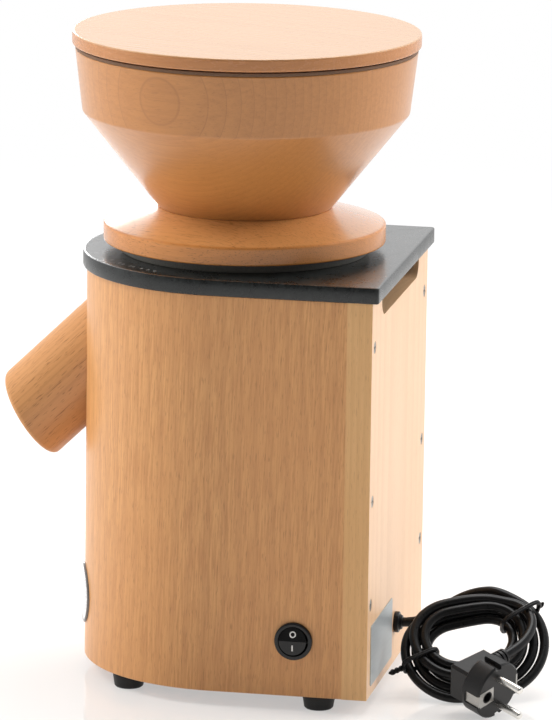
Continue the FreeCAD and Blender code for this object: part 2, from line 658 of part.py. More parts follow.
def motor_bottom_shield():
    middle = (STACK_TOP + STACK_BOTTOM) / 2
    shield = motor_shield().mirror(V(0, 0, middle), UP)
    for start in STATOR_LEADS:
        away, end = stator_lead_way(start)
        shield = shield.cut(rod(end, away, MOTOR_R, SLEEVE_WIRE_R + SLEEVE_HOLE))
    return shield


def stator_core():
    core = ring(MOTOR_R, STACK_BORE_R, STACK_BOTTOM, STACK_TOP)
    half = STATOR_SLOT_WIDTH / 2
    floor = STACK_BORE_R + STATOR_SLOT_DEPTH
    slot = block(STACK_BORE_R - 1, floor, -half, half, STACK_BOTTOM - 1, STACK_TOP + 1)
    core = core.cut(Part.makeCompound([turn_copy(slot, a) for a in around(STATOR_SLOTS)]))
    for bolt in BOLTS:
        core = core.cut(cylinder(BOLT_R + HOLE, STACK_BOTTOM - 1, STACK_TOP + 1, bolt.x, bolt.y))
    return core


def stator_windings():
    """Rounded end turns above and below the stack."""
    low = ring(WINDING_OUT_R, WINDING_IN_R, STACK_BOTTOM - WINDING_HEIGHT, STACK_BOTTOM)
    outer_edges = [e for e in low.Edges if abs(e.CenterOfMass.z - low.BoundBox.ZMin) < 0.01]
    low = low.makeFillet(WINDING_HEIGHT * 0.4, outer_edges)
    high = low.mirror(V(0, 0, (STACK_TOP + STACK_BOTTOM) / 2), UP)
    return [low, high]


def motor_bolts():
    bolts = []
    for spot in BOLTS:
        shank = cylinder(BOLT_R, SHIELD_BOTTOM - BOLT_HEAD - 1.0, BOARD_TOP, spot.x, spot.y)
        head = cylinder(BOLT_HEAD_R, BOARD_TOP - BOLT_HEAD, BOARD_TOP, spot.x, spot.y)
        bolts.append(shank.fuse(head).removeSplitter())
    return bolts


def motor_nuts():
    nuts = []
    for spot in BOLTS:
        points = [polar(BOLT_HEAD_R, a, SHIELD_BOTTOM - BOLT_HEAD) + V(spot.x, spot.y, 0) for a in around(6)]
        hexagon = Part.Face(Part.makePolygon(points + points[:1])).extrude(V(0, 0, BOLT_HEAD))
        nuts.append(hexagon.cut(cylinder(BOLT_R + PRESS, 0, BOARD_TOP, spot.x, spot.y)))
    return nuts


def bearing(bottom):
    top = bottom + BEARING_WIDTH
    groove_in = (BEARING_BORE_R * 2 + BEARING_R) / 3
    groove_out = (BEARING_BORE_R + BEARING_R * 2) / 3
    body = ring(BEARING_R, BEARING_BORE_R + RUN, bottom, top)
    body = body.cut(ring(groove_out, groove_in, top - 0.6, top + 1))
    return body.cut(ring(groove_out, groove_in, bottom - 1, bottom + 0.6))


def motor_shaft():
    low_shoulder = BOTTOM_SEAT + BEARING_WIDTH + FIT
    high_shoulder = TOP_SEAT - BEARING_WIDTH - FIT
    shaft = cylinder(BEARING_BORE_R, SHAFT_BOTTOM, SHAFT_TOP)
    shaft = shaft.fuse(cylinder(SHOULDER_R, low_shoulder, high_shoulder)).removeSplitter()
    return shaft.cut(rod(V(-STONE_R, 0, CARRIER_BOTTOM + PIN_R), V(1, 0, 0), 2 * STONE_R, PIN_R + PRESS))


def rotor_core():
    core = ring(STACK_BORE_R - AIR_GAP, SHOULDER_R + PRESS, STACK_BOTTOM - CORE_OVER, STACK_TOP + CORE_OVER)
    return core


def cooling_fan():
    fan = ring(FAN_HUB_R, BEARING_BORE_R + PRESS, FAN_BOTTOM, FAN_TOP)
    fan = fan.fuse(ring(FAN_R, BEARING_BORE_R + PRESS, FAN_TOP - 2.0, FAN_TOP))
    blade = block(FAN_HUB_R - 1.5, FAN_R, -1.0, 1.0, FAN_BOTTOM, FAN_TOP - 1.0)
    for a in around(FAN_BLADES):
        fan = fan.fuse(turn_copy(blade, a))
    return fan.removeSplitter()


def stone_carrier():
    carrier = ring(CARRIER_R, BEARING_BORE_R + PRESS, CARRIER_BOTTOM, CARRIER_TOP)
    thick = PADDLE_THICK / 2
    paddle = block(CARRIER_R - 3, PADDLE_REACH, -thick, thick, CAVITY_FLOOR + 1, CARRIER_TOP)
    for a in around(PADDLES, 45.0):
        carrier = carrier.fuse(turn_copy(paddle, a))
    carrier = carrier.removeSplitter()
    half = PIN_LENGTH / 2 + PRESS
    slot = block(-half, half, -PIN_R - PRESS, PIN_R + PRESS, CARRIER_BOTTOM - 1, CARRIER_BOTTOM + PIN_R)
    carrier = carrier.cut(slot)
    return carrier.cut(rod(V(-half, 0, CARRIER_BOTTOM + PIN_R), V(1, 0, 0), 2 * half, PIN_R + PRESS))


def drive_pin():
    return rod(V(-PIN_LENGTH / 2, 0, CARRIER_BOTTOM + PIN_R), V(1, 0, 0), PIN_LENGTH, PIN_R)


def furrow_cutter(face_z, depth):
    """Slanted grooves that lead the grain outwards, cut into a stone's working face."""
    length = STONE_R - FURROW_LAND - EYE_R + EYE_CHAMFER
    half = FURROW_WIDTH / 2
    groove = block(0, length, -half, half, face_z - depth, face_z + depth)
    groove.rotate(V(0, 0, 0), UP, FURROW_SLANT)
    groove.translate(V(EYE_R, 0, 0))
    return Part.makeCompound([turn_copy(groove, a) for a in around(FURROWS)])


def lower_stone():
    stone = turned([
        (EYE_R, CARRIER_TOP), (STONE_R, CARRIER_TOP), (STONE_R, LOWER_STONE_TOP),
        (EYE_R + EYE_CHAMFER, LOWER_STONE_TOP), (EYE_R, LOWER_STONE_TOP - EYE_CHAMFER),
    ])
    rim = cylinder(STONE_R - FURROW_LAND, CARRIER_TOP, LOWER_STONE_TOP + 5)
    return stone.cut(furrow_cutter(LOWER_STONE_TOP, FURROW_DEPTH).common(rim))


def stone_nut():
    """Nut with a feed cone that spreads the grain between the stones."""
    top = CARRIER_TOP + NUT_HEIGHT
    nut = turned([
        (0, CARRIER_TOP), (NUT_R, CARRIER_TOP), (NUT_R, top),
        (CONE_TIP_R, top + CONE_HEIGHT), (0, top + CONE_HEIGHT),
    ])
    return nut.cut(cylinder(BEARING_BORE_R + PRESS, CARRIER_TOP - 1, SHAFT_TOP + PRESS))


# Hopper

def felt_ring():
    return ring(NECK_R + THREAD_CLEAR / 2, NECK_R - FELT_DEPTH + FIT, FELT_BOTTOM + FIT, FELT_TOP - FIT)


def threaded_neck():
    neck = turned([
        (EYE_R, COLLAR_BOTTOM + NECK_SPIGOT), (NECK_SPIGOT_R, COLLAR_BOTTOM + NECK_SPIGOT),
        (NECK_SPIGOT_R, COLLAR_BOTTOM), (NECK_R, COLLAR_BOTTOM), (NECK_R, FELT_TOP),
        (NECK_R - FELT_DEPTH, FELT_TOP), (NECK_R - FELT_DEPTH, FELT_BOTTOM), (NECK_R, FELT_BOTTOM),
        (NECK_R, NECK_BOTTOM + 1), (NECK_R - 1, NECK_BOTTOM), (STONE_R + FIT, NECK_BOTTOM),
        (STONE_R + FIT, UPPER_STONE_TOP), (EYE_R, UPPER_STONE_TOP),
    ])
    for spot in NECK_SCREWS:
        neck = neck.cut(screw_room(spot.x, spot.y, UPPER_STONE_TOP, NECK_SCREW_LENGTH))
    return neck


def neck_screws():
    return [screw_up(s.x, s.y, UPPER_STONE_TOP, NECK_SCREW_LENGTH) for s in NECK_SCREWS]


def upper_stone():
    stone = turned([
        (EYE_R, UPPER_STONE_TOP), (STONE_R, UPPER_STONE_TOP), (STONE_R, UPPER_STONE_BOTTOM),
        (EYE_R + EYE_CHAMFER, UPPER_STONE_BOTTOM), (EYE_R, UPPER_STONE_BOTTOM + EYE_CHAMFER),
    ])
    rim = cylinder(STONE_R - FURROW_LAND, UPPER_STONE_BOTTOM - 5, UPPER_STONE_TOP)
    return stone.cut(furrow_cutter(UPPER_STONE_BOTTOM, FURROW_DEPTH).common(rim))


def hopper_collar():
    collar = turned([
        (EYE_R, COLLAR_BOTTOM + NECK_SPIGOT + FIT), (NECK_SPIGOT_R + FIT, COLLAR_BOTTOM + NECK_SPIGOT + FIT),
        (NECK_SPIGOT_R + FIT, COLLAR_BOTTOM), (COLLAR_R - 1, COLLAR_BOTTOM), (COLLAR_R, COLLAR_BOTTOM + 1),
        (COLLAR_R, COLLAR_SHOULDER - 1.5), (COLLAR_R - 1.5, COLLAR_SHOULDER), (FUNNEL_BASE_R, COLLAR_TOP),
        (FUNNEL_SPIGOT_R + FIT, COLLAR_TOP), (FUNNEL_SPIGOT_R + FIT, COLLAR_TOP - FUNNEL_SPIGOT - FIT),
        (EYE_R, COLLAR_TOP - FUNNEL_SPIGOT - FIT),
    ])
    for spot in NECK_SCREWS:
        tip = UPPER_STONE_TOP + NECK_SCREW_LENGTH
        collar = collar.cut(cylinder(SCREW_R + HOLE, COLLAR_BOTTOM, tip + HOLE, spot.x, spot.y))
    return collar


def hopper_funnel():
    """Turned funnel: straight cone below, slightly flared band above, grain cone inside."""
    rim_in = FUNNEL_RIM_R - FUNNEL_WALL
    shoulder_in = FUNNEL_SHOULDER_R - FUNNEL_WALL
    return turned([
        (EYE_R, COLLAR_TOP - FUNNEL_SPIGOT), (FUNNEL_SPIGOT_R, COLLAR_TOP - FUNNEL_SPIGOT),
        (FUNNEL_SPIGOT_R, COLLAR_TOP), (FUNNEL_BASE_R, COLLAR_TOP), (FUNNEL_SHOULDER_R, SHOULDER_TOP),
        (FUNNEL_RIM_R, RIM_TOP), (rim_in, RIM_TOP), (shoulder_in, SHOULDER_TOP + FUNNEL_WALL / 4),
        (EYE_R, COLLAR_TOP + FUNNEL_WALL / 2),
    ])


def lid():
    return turned([
        (0, LID_BOTTOM), (LID_R - LID_EDGE, LID_BOTTOM), (LID_R, LID_BOTTOM + LID_EDGE),
        (LID_R, LID_TOP - LID_EDGE), (LID_R - LID_EDGE, LID_TOP), (0, LID_TOP),
    ])


def lid_locating_disc():
    radius = FUNNEL_RIM_R - FUNNEL_WALL - LOCATOR_GAP
    low = RIM_TOP - LOCATOR_DEPTH
    return turned([(0, low), (radius - 2.0, low), (radius, low + 2.0), (radius, LID_BOTTOM), (0, LID_BOTTOM)])


def lid_underlay():
    return ring(FUNNEL_RIM_R, FUNNEL_RIM_R - FUNNEL_WALL - LOCATOR_GAP + FIT, RIM_TOP, LID_BOTTOM)


# Switch and electrics

def switch_housing():
    bezel_top = SWITCH_SEAT - INWARD * SWITCH_BEZEL
    body = rod(bezel_top, INWARD, SWITCH_BEZEL, SWITCH_BEZEL_R)
    outer_rim = [e for e in body.Edges if abs(e.CenterOfMass.x - bezel_top.x) < 0.01]
    body = body.makeFillet(SWITCH_BEZEL * 0.5, outer_rim)
    body = body.fuse(rod(SWITCH_SEAT, INWARD, SWITCH_DEPTH, SWITCH_BARREL_R))
    body = body.cut(rod(bezel_top, INWARD, SWITCH_BEZEL + SWITCH_POCKET, SWITCH_OPENING_R)).removeSplitter()
    for side in (-1, 1):
        reach = SWITCH_OPENING_R + TRUNNION_LENGTH + FIT
        body = body.cut(rod(SWITCH_SEAT, V(0, side, 0), reach, TRUNNION_R + RUN))
        tab_z = SWITCH_HEIGHT + side * SWITCH_BARREL_R / 2
        tab_x = BODY_HALF - SWITCH_DEPTH
        tab = block(tab_x - TAB_LENGTH, tab_x, SWITCH_Y - TAB_WIDTH / 2, SWITCH_Y + TAB_WIDTH / 2,
                    tab_z - TAB_THICK / 2, tab_z + TAB_THICK / 2)
        body = body.fuse(tab)
    return body.removeSplitter()


def switch_rocker():
    """Round rocker with two sloping halves and trunnions; at rest its upper half is pressed in."""
    half_swing = radians(ROCKER_SWING / 2)
    drop = ROCKER_R * math.tan(half_swing)
    profile = [(-ROCKER_DEPTH, -ROCKER_R), (ROCKER_RISE - drop + SWITCH_BEZEL / 2, -ROCKER_R),
               (ROCKER_RISE + SWITCH_BEZEL / 2, 0), (ROCKER_RISE - drop + SWITCH_BEZEL / 2, ROCKER_R),
               (-ROCKER_DEPTH, ROCKER_R)]
    points = [SWITCH_SEAT + V(x, -ROCKER_R - 1, z) for x, z in profile]
    wedge = Part.Face(Part.makePolygon(points + points[:1])).extrude(V(0, 2 * ROCKER_R + 2, 0))
    height = ROCKER_DEPTH + ROCKER_RISE * 3
    rocker = wedge.common(rod(SWITCH_SEAT + INWARD * ROCKER_DEPTH, INWARD * -1, height, ROCKER_R))
    reach = SWITCH_OPENING_R + TRUNNION_LENGTH
    trunnions = rod(SWITCH_SEAT - V(0, reach, 0), V(0, 1, 0), 2 * reach, TRUNNION_R)
    rocker = rocker.fuse(trunnions).removeSplitter()
    rocker.rotate(SWITCH_SEAT, V(0, 1, 0), -ROCKER_SWING / 2)
    return rocker


def capacitor():
    can = cylinder(CAPACITOR_R, BASE_TOP, BASE_TOP + CAPACITOR_HEIGHT, CAPACITOR_X, CAPACITOR_Y)
    top_rim = [e for e in can.Edges if abs(e.CenterOfMass.z - BASE_TOP - CAPACITOR_HEIGHT) < 0.01]
    can = can.makeFillet(2.0, top_rim)
    stud = cylinder(CAPACITOR_STUD_R, BASE_BOTTOM, BASE_TOP + 1, CAPACITOR_X, CAPACITOR_Y)
    return can.fuse(stud).removeSplitter()


def terminal_block():
    wide, deep, high = BLOCK_SIZE
    body = block(BLOCK_X, BLOCK_X + wide, BLOCK_Y, BLOCK_Y + deep, BASE_TOP, BASE_TOP + high)
    for k in range(3):
        y = BLOCK_Y + deep * (k + 0.5) / 3
        body = body.cut(cylinder(1.8, BASE_TOP + high / 2, BASE_TOP + high + 1, BLOCK_X + wide / 2, y))
    return body


# Cords and wires

def route_edges(points, radius_note=None):
    """Straight runs through the points, joined by tangent arcs as large as the runs allow."""
    edges = []
    start = points[0]
    for before, here, after in zip(points, points[1:], points[2:]):
        back, ahead = before - here, after - here
        run = min(back.Length, ahead.Length)
        back.normalize()
        ahead.normalize()
        half_turn = (math.pi - back.getAngle(ahead)) / 2
        trim = 0.45 * run
        radius = trim / math.tan(half_turn)
        if radius_note is not None:
            radius_note.append(round(radius, 1))
        into, out = here + back * trim, here + ahead * trim
        middle = back + ahead
        middle.normalize()
        centre = here + middle * (radius / math.cos(half_turn))
        edges.append(Part.LineSegment(start, into).toShape())
        edges.append(Part.Arc(into, centre - middle * radius, out).toShape())
        start = out
    edges.append(Part.LineSegment(start, points[-1]).toShape())
    return edges


def tube(edges, radius, name):
    """Round tube along joined edges, with its volume compared with section times length."""
    wire = Part.Wire(edges)
    first = edges[0]
    direction = first.tangentAt(first.FirstParameter)
    section = Part.Wire(Part.makeCircle(radius, first.valueAt(first.FirstParameter), direction))
    solid = wire.makePipeShell([section], True, False)
    expected = math.pi * radius * radius * wire.Length
    print(name, "length", round(wire.Length, 1), "volume ratio", round(solid.Volume / expected, 4))
    return solid


def routed_tube(points, radius, name):
    radii = []
    solid = tube(route_edges(points, radii), radius, name)
    print(name, "bend radii", radii)
    return solid


# Coil of the power cord: leans back beside the cabinet, its lower turns on the floor
COIL_CENTRE = (27.0, 153.2)      # in plan, from the mill axis
COIL_FACING = 11.0               # degrees, the way that the open side faces, from +X towards +Y
COIL_LEAN = 45.0                 # degrees from upright, the top away from the open side
COIL_ROLL = 12.0                 # long axis turned up at the back
COIL_RADIUS = 38.0               # outermost turn, middle of the cord
COIL_FLAT = 6.0                  # half of the straight run between the half turns
COIL_PITCH = CORD_D + 0.6
COIL_LAYER = CORD_D + 0.6
COIL_HALF_TURNS_IN = 6
COIL_HALF_TURNS_OUT = 3
COIL_START_TURN = 45.0           # degrees past the top, where the lead joins
COIL_END_TURN = 15.0             # and where the tail leaves
TIE_CLEAR = 0.15
TIE_TAIL_R = 1.6
TIE_LEFT_ANGLE = 195.0           # degrees round the coil, from its right end towards its top
TIE_LEFT_TAIL = 9.0
TIE_RIGHT_ANGLE = 22.0
TIE_RIGHT_TAIL = 3.0


def coil_frame():
    """Axes of the coil's plane: along, up the slope, and out of the open side."""
    facing = V(math.cos(radians(COIL_FACING)), math.sin(radians(COIL_FACING)), 0)
    level = V(-facing.y, facing.x, 0)
    slope = UP * math.cos(radians(COIL_LEAN)) - facing * math.sin(radians(COIL_LEAN))
    out = facing * math.cos(radians(COIL_LEAN)) + UP * math.sin(radians(COIL_LEAN))
    c, s = math.cos(radians(COIL_ROLL)), math.sin(radians(COIL_ROLL))
    along = level * c + slope * s
    rise = slope * c - level * s
    return along, rise, out


COIL_ALONG, COIL_RISE, COIL_OUT = coil_frame()


def coil_plane(along, up, out):
    return COIL_ALONG * along + COIL_RISE * up + COIL_OUT * out


def past_top(radius, centre_up, turn, out):
    """Point and heading on a half turn at the coil's right end, so many degrees past its top."""
    s, c = math.sin(radians(turn)), math.cos(radians(turn))
    place = coil_plane(COIL_FLAT + radius * s, centre_up + radius * c, out)
    return place, COIL_ALONG * c - COIL_RISE * s


def coil_knots():
    """Ends of the coil's straight runs, each with its heading: in, up a layer, and out again."""
    place, heading = past_top(COIL_RADIUS, 0, COIL_START_TURN, 0)
    knots = [(place - heading * CORD_D, heading), (place, heading)]
    radius, up, out, way = COIL_RADIUS, COIL_RADIUS, 0.0, 1
    for k in range(COIL_HALF_TURNS_IN + 1 + COIL_HALF_TURNS_OUT):
        up -= way * 2 * radius
        if k == COIL_HALF_TURNS_IN:
            out += COIL_LAYER
        way = -way
        knots.append((coil_plane(-way * COIL_FLAT, up, out), COIL_ALONG * way))
        knots.append((coil_plane(way * COIL_FLAT, up, out), COIL_ALONG * way))
        radius += COIL_PITCH / 2 if k >= COIL_HALF_TURNS_IN else -COIL_PITCH / 2
    place, heading = past_top(radius, up - radius, COIL_END_TURN, out)
    knots += [(place, heading), (place + heading * CORD_D, heading)]
    return knots


def biarc(start, start_dir, end, end_dir):
    """Two arcs from start to end that leave and arrive along the given directions."""
    chord = end - start
    both = start_dir + end_dir
    a = 2 * (1 - start_dir.dot(end_dir))
    b = 2 * chord.dot(both)
    c = -chord.dot(chord)
    reach = (-b + math.sqrt(b * b - 4 * a * c)) / (2 * a)
    first = start + start_dir * reach
    last = end - end_dir * reach
    joint = (first + last) * 0.5
    return [tangent_arc(start, start_dir, joint), tangent_arc(end, end_dir * -1, joint, True)]


def tangent_arc(start, direction, end, backwards=False):
    chord = end - start
    side = chord - direction * chord.dot(direction)
    radius = chord.dot(chord) / (2 * side.Length)
    side.normalize()
    centre = start + side * radius
    middle = (start + end) * 0.5 - centre
    middle.normalize()
    through = centre + middle * radius
    return Part.Arc(end, through, start).toShape() if backwards else Part.Arc(start, through, end).toShape()


def coil_path():
    """The coil's edges, standing on the floor, and the shift from its own plane to there."""
    edges = []
    knots = coil_knots()
    for (p, p_dir), (q, q_dir) in zip(knots, knots[1:]):
        if p_dir.dot(q_dir) > 0.9999:
            edges.append(Part.LineSegment(p, q).toShape())
        else:
            edges.extend(biarc(p, p_dir, q, q_dir))
    lowest = min(e.BoundBox.ZMin for e in edges)
    shift = V(COIL_CENTRE[0], COIL_CENTRE[1], CORD_R - lowest)
    for e in edges:
        e.translate(shift)
    return edges, shift


def sampled(edges, step):
    points = []
    for e in edges:
        count = max(2, int(e.Length / step))
        span = e.LastParameter - e.FirstParameter
        points.extend(e.valueAt(e.FirstParameter + span * k / count) for k in range(count))
    return points


def least_self_gap(edges):
    """Least clear distance between turns, over points that lie well apart along the cord."""
    step = CORD_D / 6
    points = sampled(edges, step)
    apart = int(4 * CORD_D / step)
    count = len(points)
    best = min((points[i] - points[j]).Length for i in range(count) for j in range(i + apart, count))
    return best - CORD_D


COIL_EDGES, COIL_SHIFT = coil_path()
COIL_START = COIL_EDGES[0].valueAt(COIL_EDGES[0].FirstParameter)
COIL_START_DIR = COIL_EDGES[0].tangentAt(COIL_EDGES[0].FirstParameter)
COIL_END = COIL_EDGES[-1].valueAt(COIL_EDGES[-1].LastParameter)
COIL_END_DIR = COIL_EDGES[-1].tangentAt(COIL_EDGES[-1].LastParameter)


def power_cord_coil():
    print("coil least gap to itself", round(least_self_gap(COIL_EDGES), 2))
    return tube(COIL_EDGES, CORD_R, "coil")


def tie(side, angle, tail, cord_points):
    """Wire tie drawn round the bundle at one end of the coil, with its twisted tail outside."""
    a = radians(angle)
    radial = COIL_ALONG * math.cos(a) + COIL_RISE * math.sin(a)
    run = COIL_RISE * math.cos(a) - COIL_ALONG * math.sin(a)
    centre = COIL_SHIFT + COIL_ALONG * (side * COIL_FLAT)
    bundle = [p - centre for p in cord_points if abs((p - centre).dot(run)) < TIE_WIDTH]
    reach = [p.dot(radial) for p in bundle if p.dot(radial) > 0]
    depth = [p.dot(COIL_OUT) for p in bundle if p.dot(radial) > 0]
    room = CORD_R + TIE_CLEAR
    near, far, low, high = min(reach) - room, max(reach) + room, min(depth) - room, max(depth) + room

    def loop(grow):
        r0, r1, o0, o1 = near - grow, far + grow, low - grow, high + grow
        corners = [(r0, o0), (r1, o0), (r1, o1), (r0, o1)]
        points = [centre + radial * r + COIL_OUT * o - run * (TIE_WIDTH / 2) for r, o in corners]
        prism = Part.Face(Part.makePolygon(points + points[:1])).extrude(run * TIE_WIDTH)
        sides = [e for e in prism.Edges if abs(e.Length - TIE_WIDTH) < 0.01]
        return prism.makeFillet(CORD_R + grow, sides)

    band = loop(TIE_THICK).cut(loop(0))
    foot = centre + radial * (far + TIE_THICK / 2) + COIL_OUT * ((low + high) / 2)
    return band.fuse(rod(foot, radial, tail, TIE_TAIL_R)).removeSplitter()


def cord_ties():
    cord_points = sampled(COIL_EDGES + route_edges(TAIL_POINTS), CORD_D / 6)
    left = tie(-1, TIE_LEFT_ANGLE, TIE_LEFT_TAIL, cord_points)
    return [left, tie(1, TIE_RIGHT_ANGLE, TIE_RIGHT_TAIL, cord_points)]


# Plug: lies in front of the coil on the rim of its face, pins pointing away from the cabinet
PLUG_PINS_DIR = V(0.497, 0.830, -0.247)
PLUG_UP_DIR = V(0.36, 0.06, 0.93)
PLUG_IN_PLAN = (86.9, 178.4)


def plug_frame():
    """Plug axes: the way of the cord, across the pins, and along the pins; and the face's centre."""
    ahead = V(PLUG_PINS_DIR)
    ahead.normalize()
    arm = PLUG_UP_DIR.cross(ahead)
    arm.normalize()
    across = ahead.cross(arm)
    lift = PLUG_R * math.sqrt(arm.z ** 2 + across.z ** 2)
    return arm, across, ahead, V(PLUG_IN_PLAN[0], PLUG_IN_PLAN[1], lift)


PLUG_ARM_DIR, PLUG_ACROSS_DIR, PLUG_AHEAD_DIR, PLUG_FACE = plug_frame()
PLUG_ARM_TIP = PLUG_FACE - PLUG_AHEAD_DIR * PLUG_ARM_BACK + PLUG_ARM_DIR * PLUG_ARM_LENGTH


def plug_place(shape):
    """Moves a shape from plug axes (x cord, y across, z pins) to where the plug lies."""
    a, c, p, o = PLUG_ARM_DIR, PLUG_ACROSS_DIR, PLUG_AHEAD_DIR, PLUG_FACE
    matrix = FreeCAD.Matrix(a.x, c.x, p.x, o.x, a.y, c.y, p.y, o.y, a.z, c.z, p.z, o.z, 0, 0, 0, 1)
    placed = shape.copy()
    placed.Placement = FreeCAD.Placement(matrix)
    return placed


def earth_box(side, depth, width, length):
    """Block let into the plug's rim at one earth contact, from the face backwards."""
    inner = PLUG_R - depth
    low, high = (inner, PLUG_R + 1) if side > 0 else (-PLUG_R - 1, -inner)
    return block(low, high, -width / 2, width / 2, -length, 1.0)


def plug_grip():
    """Housing behind the round part: flat sides that draw in towards the cord, edges taken off."""
    head = (-GRIP_HEAD, GRIP_HEIGHT, PLUG_FRONT / 2)
    tail = (GRIP_TAIL, GRIP_TAIL_HEIGHT, GRIP_TAIL_FRONT)
    ends = []
    for x, height, front in (head, tail):
        half = height / 2
        points = [V(x, -half, -front), V(x, half, -front), V(x, half, -PLUG_DEPTH), V(x, -half, -PLUG_DEPTH)]
        ends.append(Part.makePolygon(points + points[:1]))
    grip = Part.makeLoft(ends, True, True)
    behind = [e for e in grip.Edges if e.CenterOfMass.z < -PLUG_FRONT]
    return grip.makeChamfer(GRIP_EDGE, behind)


def earth_tongue(clear):
    """Flat strip on the plug's face, from the rim to past the earth hole, with a hole round that."""
    half = EARTH_TONGUE_WIDTH / 2 + clear
    low, high = EARTH_RECESS - PLUG_R - clear, EARTH_TONGUE - EARTH_HOLE_OFFSET + clear
    strip = block(low, high, -half, half, -EARTH_THICK, 0)
    return strip.cut(cylinder(EARTH_HOLE_R + EARTH_LAND + FIT - clear, -PLUG_DEPTH, 1, -EARTH_HOLE_OFFSET, 0))


def plug_body():
    body = turned([
        (0, 0), (PLUG_R - PLUG_EDGE, 0), (PLUG_R, -PLUG_EDGE), (PLUG_R, PLUG_EDGE - PLUG_FRONT),
        (PLUG_R - PLUG_EDGE, -PLUG_FRONT), (0, -PLUG_FRONT),
    ])
    arm = Part.makeCone(PLUG_ARM_R, PLUG_ARM_END_R, PLUG_ARM_LENGTH, V(0, 0, -PLUG_ARM_BACK), V(1, 0, 0))
    for k in range(PLUG_RIBS):
        x = PLUG_ARM_LENGTH - PLUG_RIB_STEP * (k + 1)
        taper = (PLUG_ARM_R - PLUG_ARM_END_R) / PLUG_ARM_LENGTH
        radius = PLUG_ARM_END_R + taper * (PLUG_ARM_LENGTH - x) - PLUG_RIB_DEPTH
        wide = rod(V(x, 0, -PLUG_ARM_BACK), V(1, 0, 0), PLUG_RIB_WIDTH, PLUG_ARM_R + 2)
        arm = arm.cut(wide.cut(rod(V(x, 0, -PLUG_ARM_BACK), V(1, 0, 0), PLUG_RIB_WIDTH, radius)))
    body = body.fuse(plug_grip()).fuse(arm).removeSplitter()
    half = PLUG_GUIDE_WIDTH / 2
    for side in (-1, 1):
        body = body.cut(earth_box(side, EARTH_RECESS, EARTH_WIDTH + 2 * FIT, EARTH_LENGTH))
        low, high = sorted((side * (PLUG_R - PLUG_GUIDE_DEPTH), side * (PLUG_R + 1)))
        body = body.cut(block(-half, half, low, high, -PLUG_FRONT - 1, 1))
    body = body.cut(cylinder(EARTH_HOLE_R, -EARTH_HOLE_DEPTH, 1, -EARTH_HOLE_OFFSET, 0))
    return plug_place(body.cut(earth_tongue(FIT)))


def plug_pins():
    pins = []
    for side in (-1, 1):
        pin = cylinder(PIN_DIAMETER / 2, 0, PIN_REACH, 0, side * PIN_SPACING / 2)
        tip = [e for e in pin.Edges if abs(e.CenterOfMass.z - PIN_REACH) < 0.01]
        pins.append(plug_place(pin.makeFillet(PIN_DIAMETER * 0.3, tip)))
    return pins


def plug_earth_contacts():
    """Sprung strips in the recesses of the plug's rim; one runs on over the face, round the earth hole."""
    contacts = []
    for side in (-1, 1):
        floor = side * (PLUG_R - EARTH_RECESS)
        low, high = sorted((floor, floor + side * EARTH_THICK))
        strip = block(low, high, -EARTH_WIDTH / 2, EARTH_WIDTH / 2, -EARTH_LENGTH, 0)
        contacts.append(plug_place(strip.fuse(earth_tongue(0)).removeSplitter() if side < 0 else strip))
    return contacts


# Free stretches of the cord
LEAD_EXIT = V(0, GROMMET_TIP_Y, GROMMET_HEIGHT)
LEAD_POINTS = [
    LEAD_EXIT, LEAD_EXIT + V(0, LEAD_STRAIGHT, 0), V(-0.4, 119.4, 37.4), V(-1.2, 127.0, 42.8),
    V(-2.8, 137.2, 52.4), V(-4.0, 145.0, 57.0), V(-4.6, 153.2, 59.7),
    COIL_START - COIL_START_DIR * COIL_IN_STRAIGHT, COIL_START,
]
TAIL_POINTS = [
    COIL_END, COIL_END + COIL_END_DIR * COIL_OUT_STRAIGHT, V(6.6, 177.8, 56.0), V(10.6, 184.6, 52.7),
    V(17.3, 188.8, 48.6), V(25.6, 189.5, 44.0), V(34.6, 187.5, 39.7),
    PLUG_ARM_TIP + PLUG_ARM_DIR * ARM_STRAIGHT, PLUG_ARM_TIP,
]


def power_cord_lead():
    return routed_tube(LEAD_POINTS, CORD_R, "lead")


def power_cord_tail():
    return routed_tube(TAIL_POINTS, CORD_R, "tail")


def cord_grommet():
    """Flanged bushing with a short tapered nose, through the back panel."""
    axis = V(0, 1, 0)
    inner_y = SEAM_Y - GROMMET_INNER
    body = rod(V(0, inner_y, GROMMET_HEIGHT), axis, BODY_DEPTH - inner_y, GROMMET_BARREL_R)
    body = body.fuse(rod(V(0, BODY_DEPTH, GROMMET_HEIGHT), axis, GROMMET_FLANGE, GROMMET_FLANGE_R))
    nose = Part.makeCone(GROMMET_BARREL_R, GROMMET_NOSE_R, GROMMET_NOSE,
                         V(0, BODY_DEPTH + GROMMET_FLANGE, GROMMET_HEIGHT), axis)
    return body.fuse(nose).removeSplitter()


def inner_cord():
    start = V(0, SEAM_Y - GROMMET_INNER, GROMMET_HEIGHT)
    end = V(BLOCK_X, INNER_CORD_Y, GROMMET_HEIGHT)
    drop = start.y - end.y
    points = [start, start + V(0, -drop * 0.35, 0), V(CLAMP_X * 0.2, end.y + drop * 0.25, GROMMET_HEIGHT),
              V(CLAMP_X * 0.5, end.y, GROMMET_HEIGHT), end]
    return routed_tube(points, CORD_R, "inner cord")


def cord_clamp():
    long_x, wide_y, high = CLAMP_SIZE
    low_y, high_y = INNER_CORD_Y - wide_y / 2, INNER_CORD_Y + wide_y / 2
    saddle = block(CLAMP_X, CLAMP_X + long_x, low_y, high_y, BASE_TOP, BASE_TOP + high)
    channel = rod(V(CLAMP_X - 1, INNER_CORD_Y, GROMMET_HEIGHT), V(1, 0, 0), long_x + 2, CORD_R + FIT)
    return saddle.cut(channel)


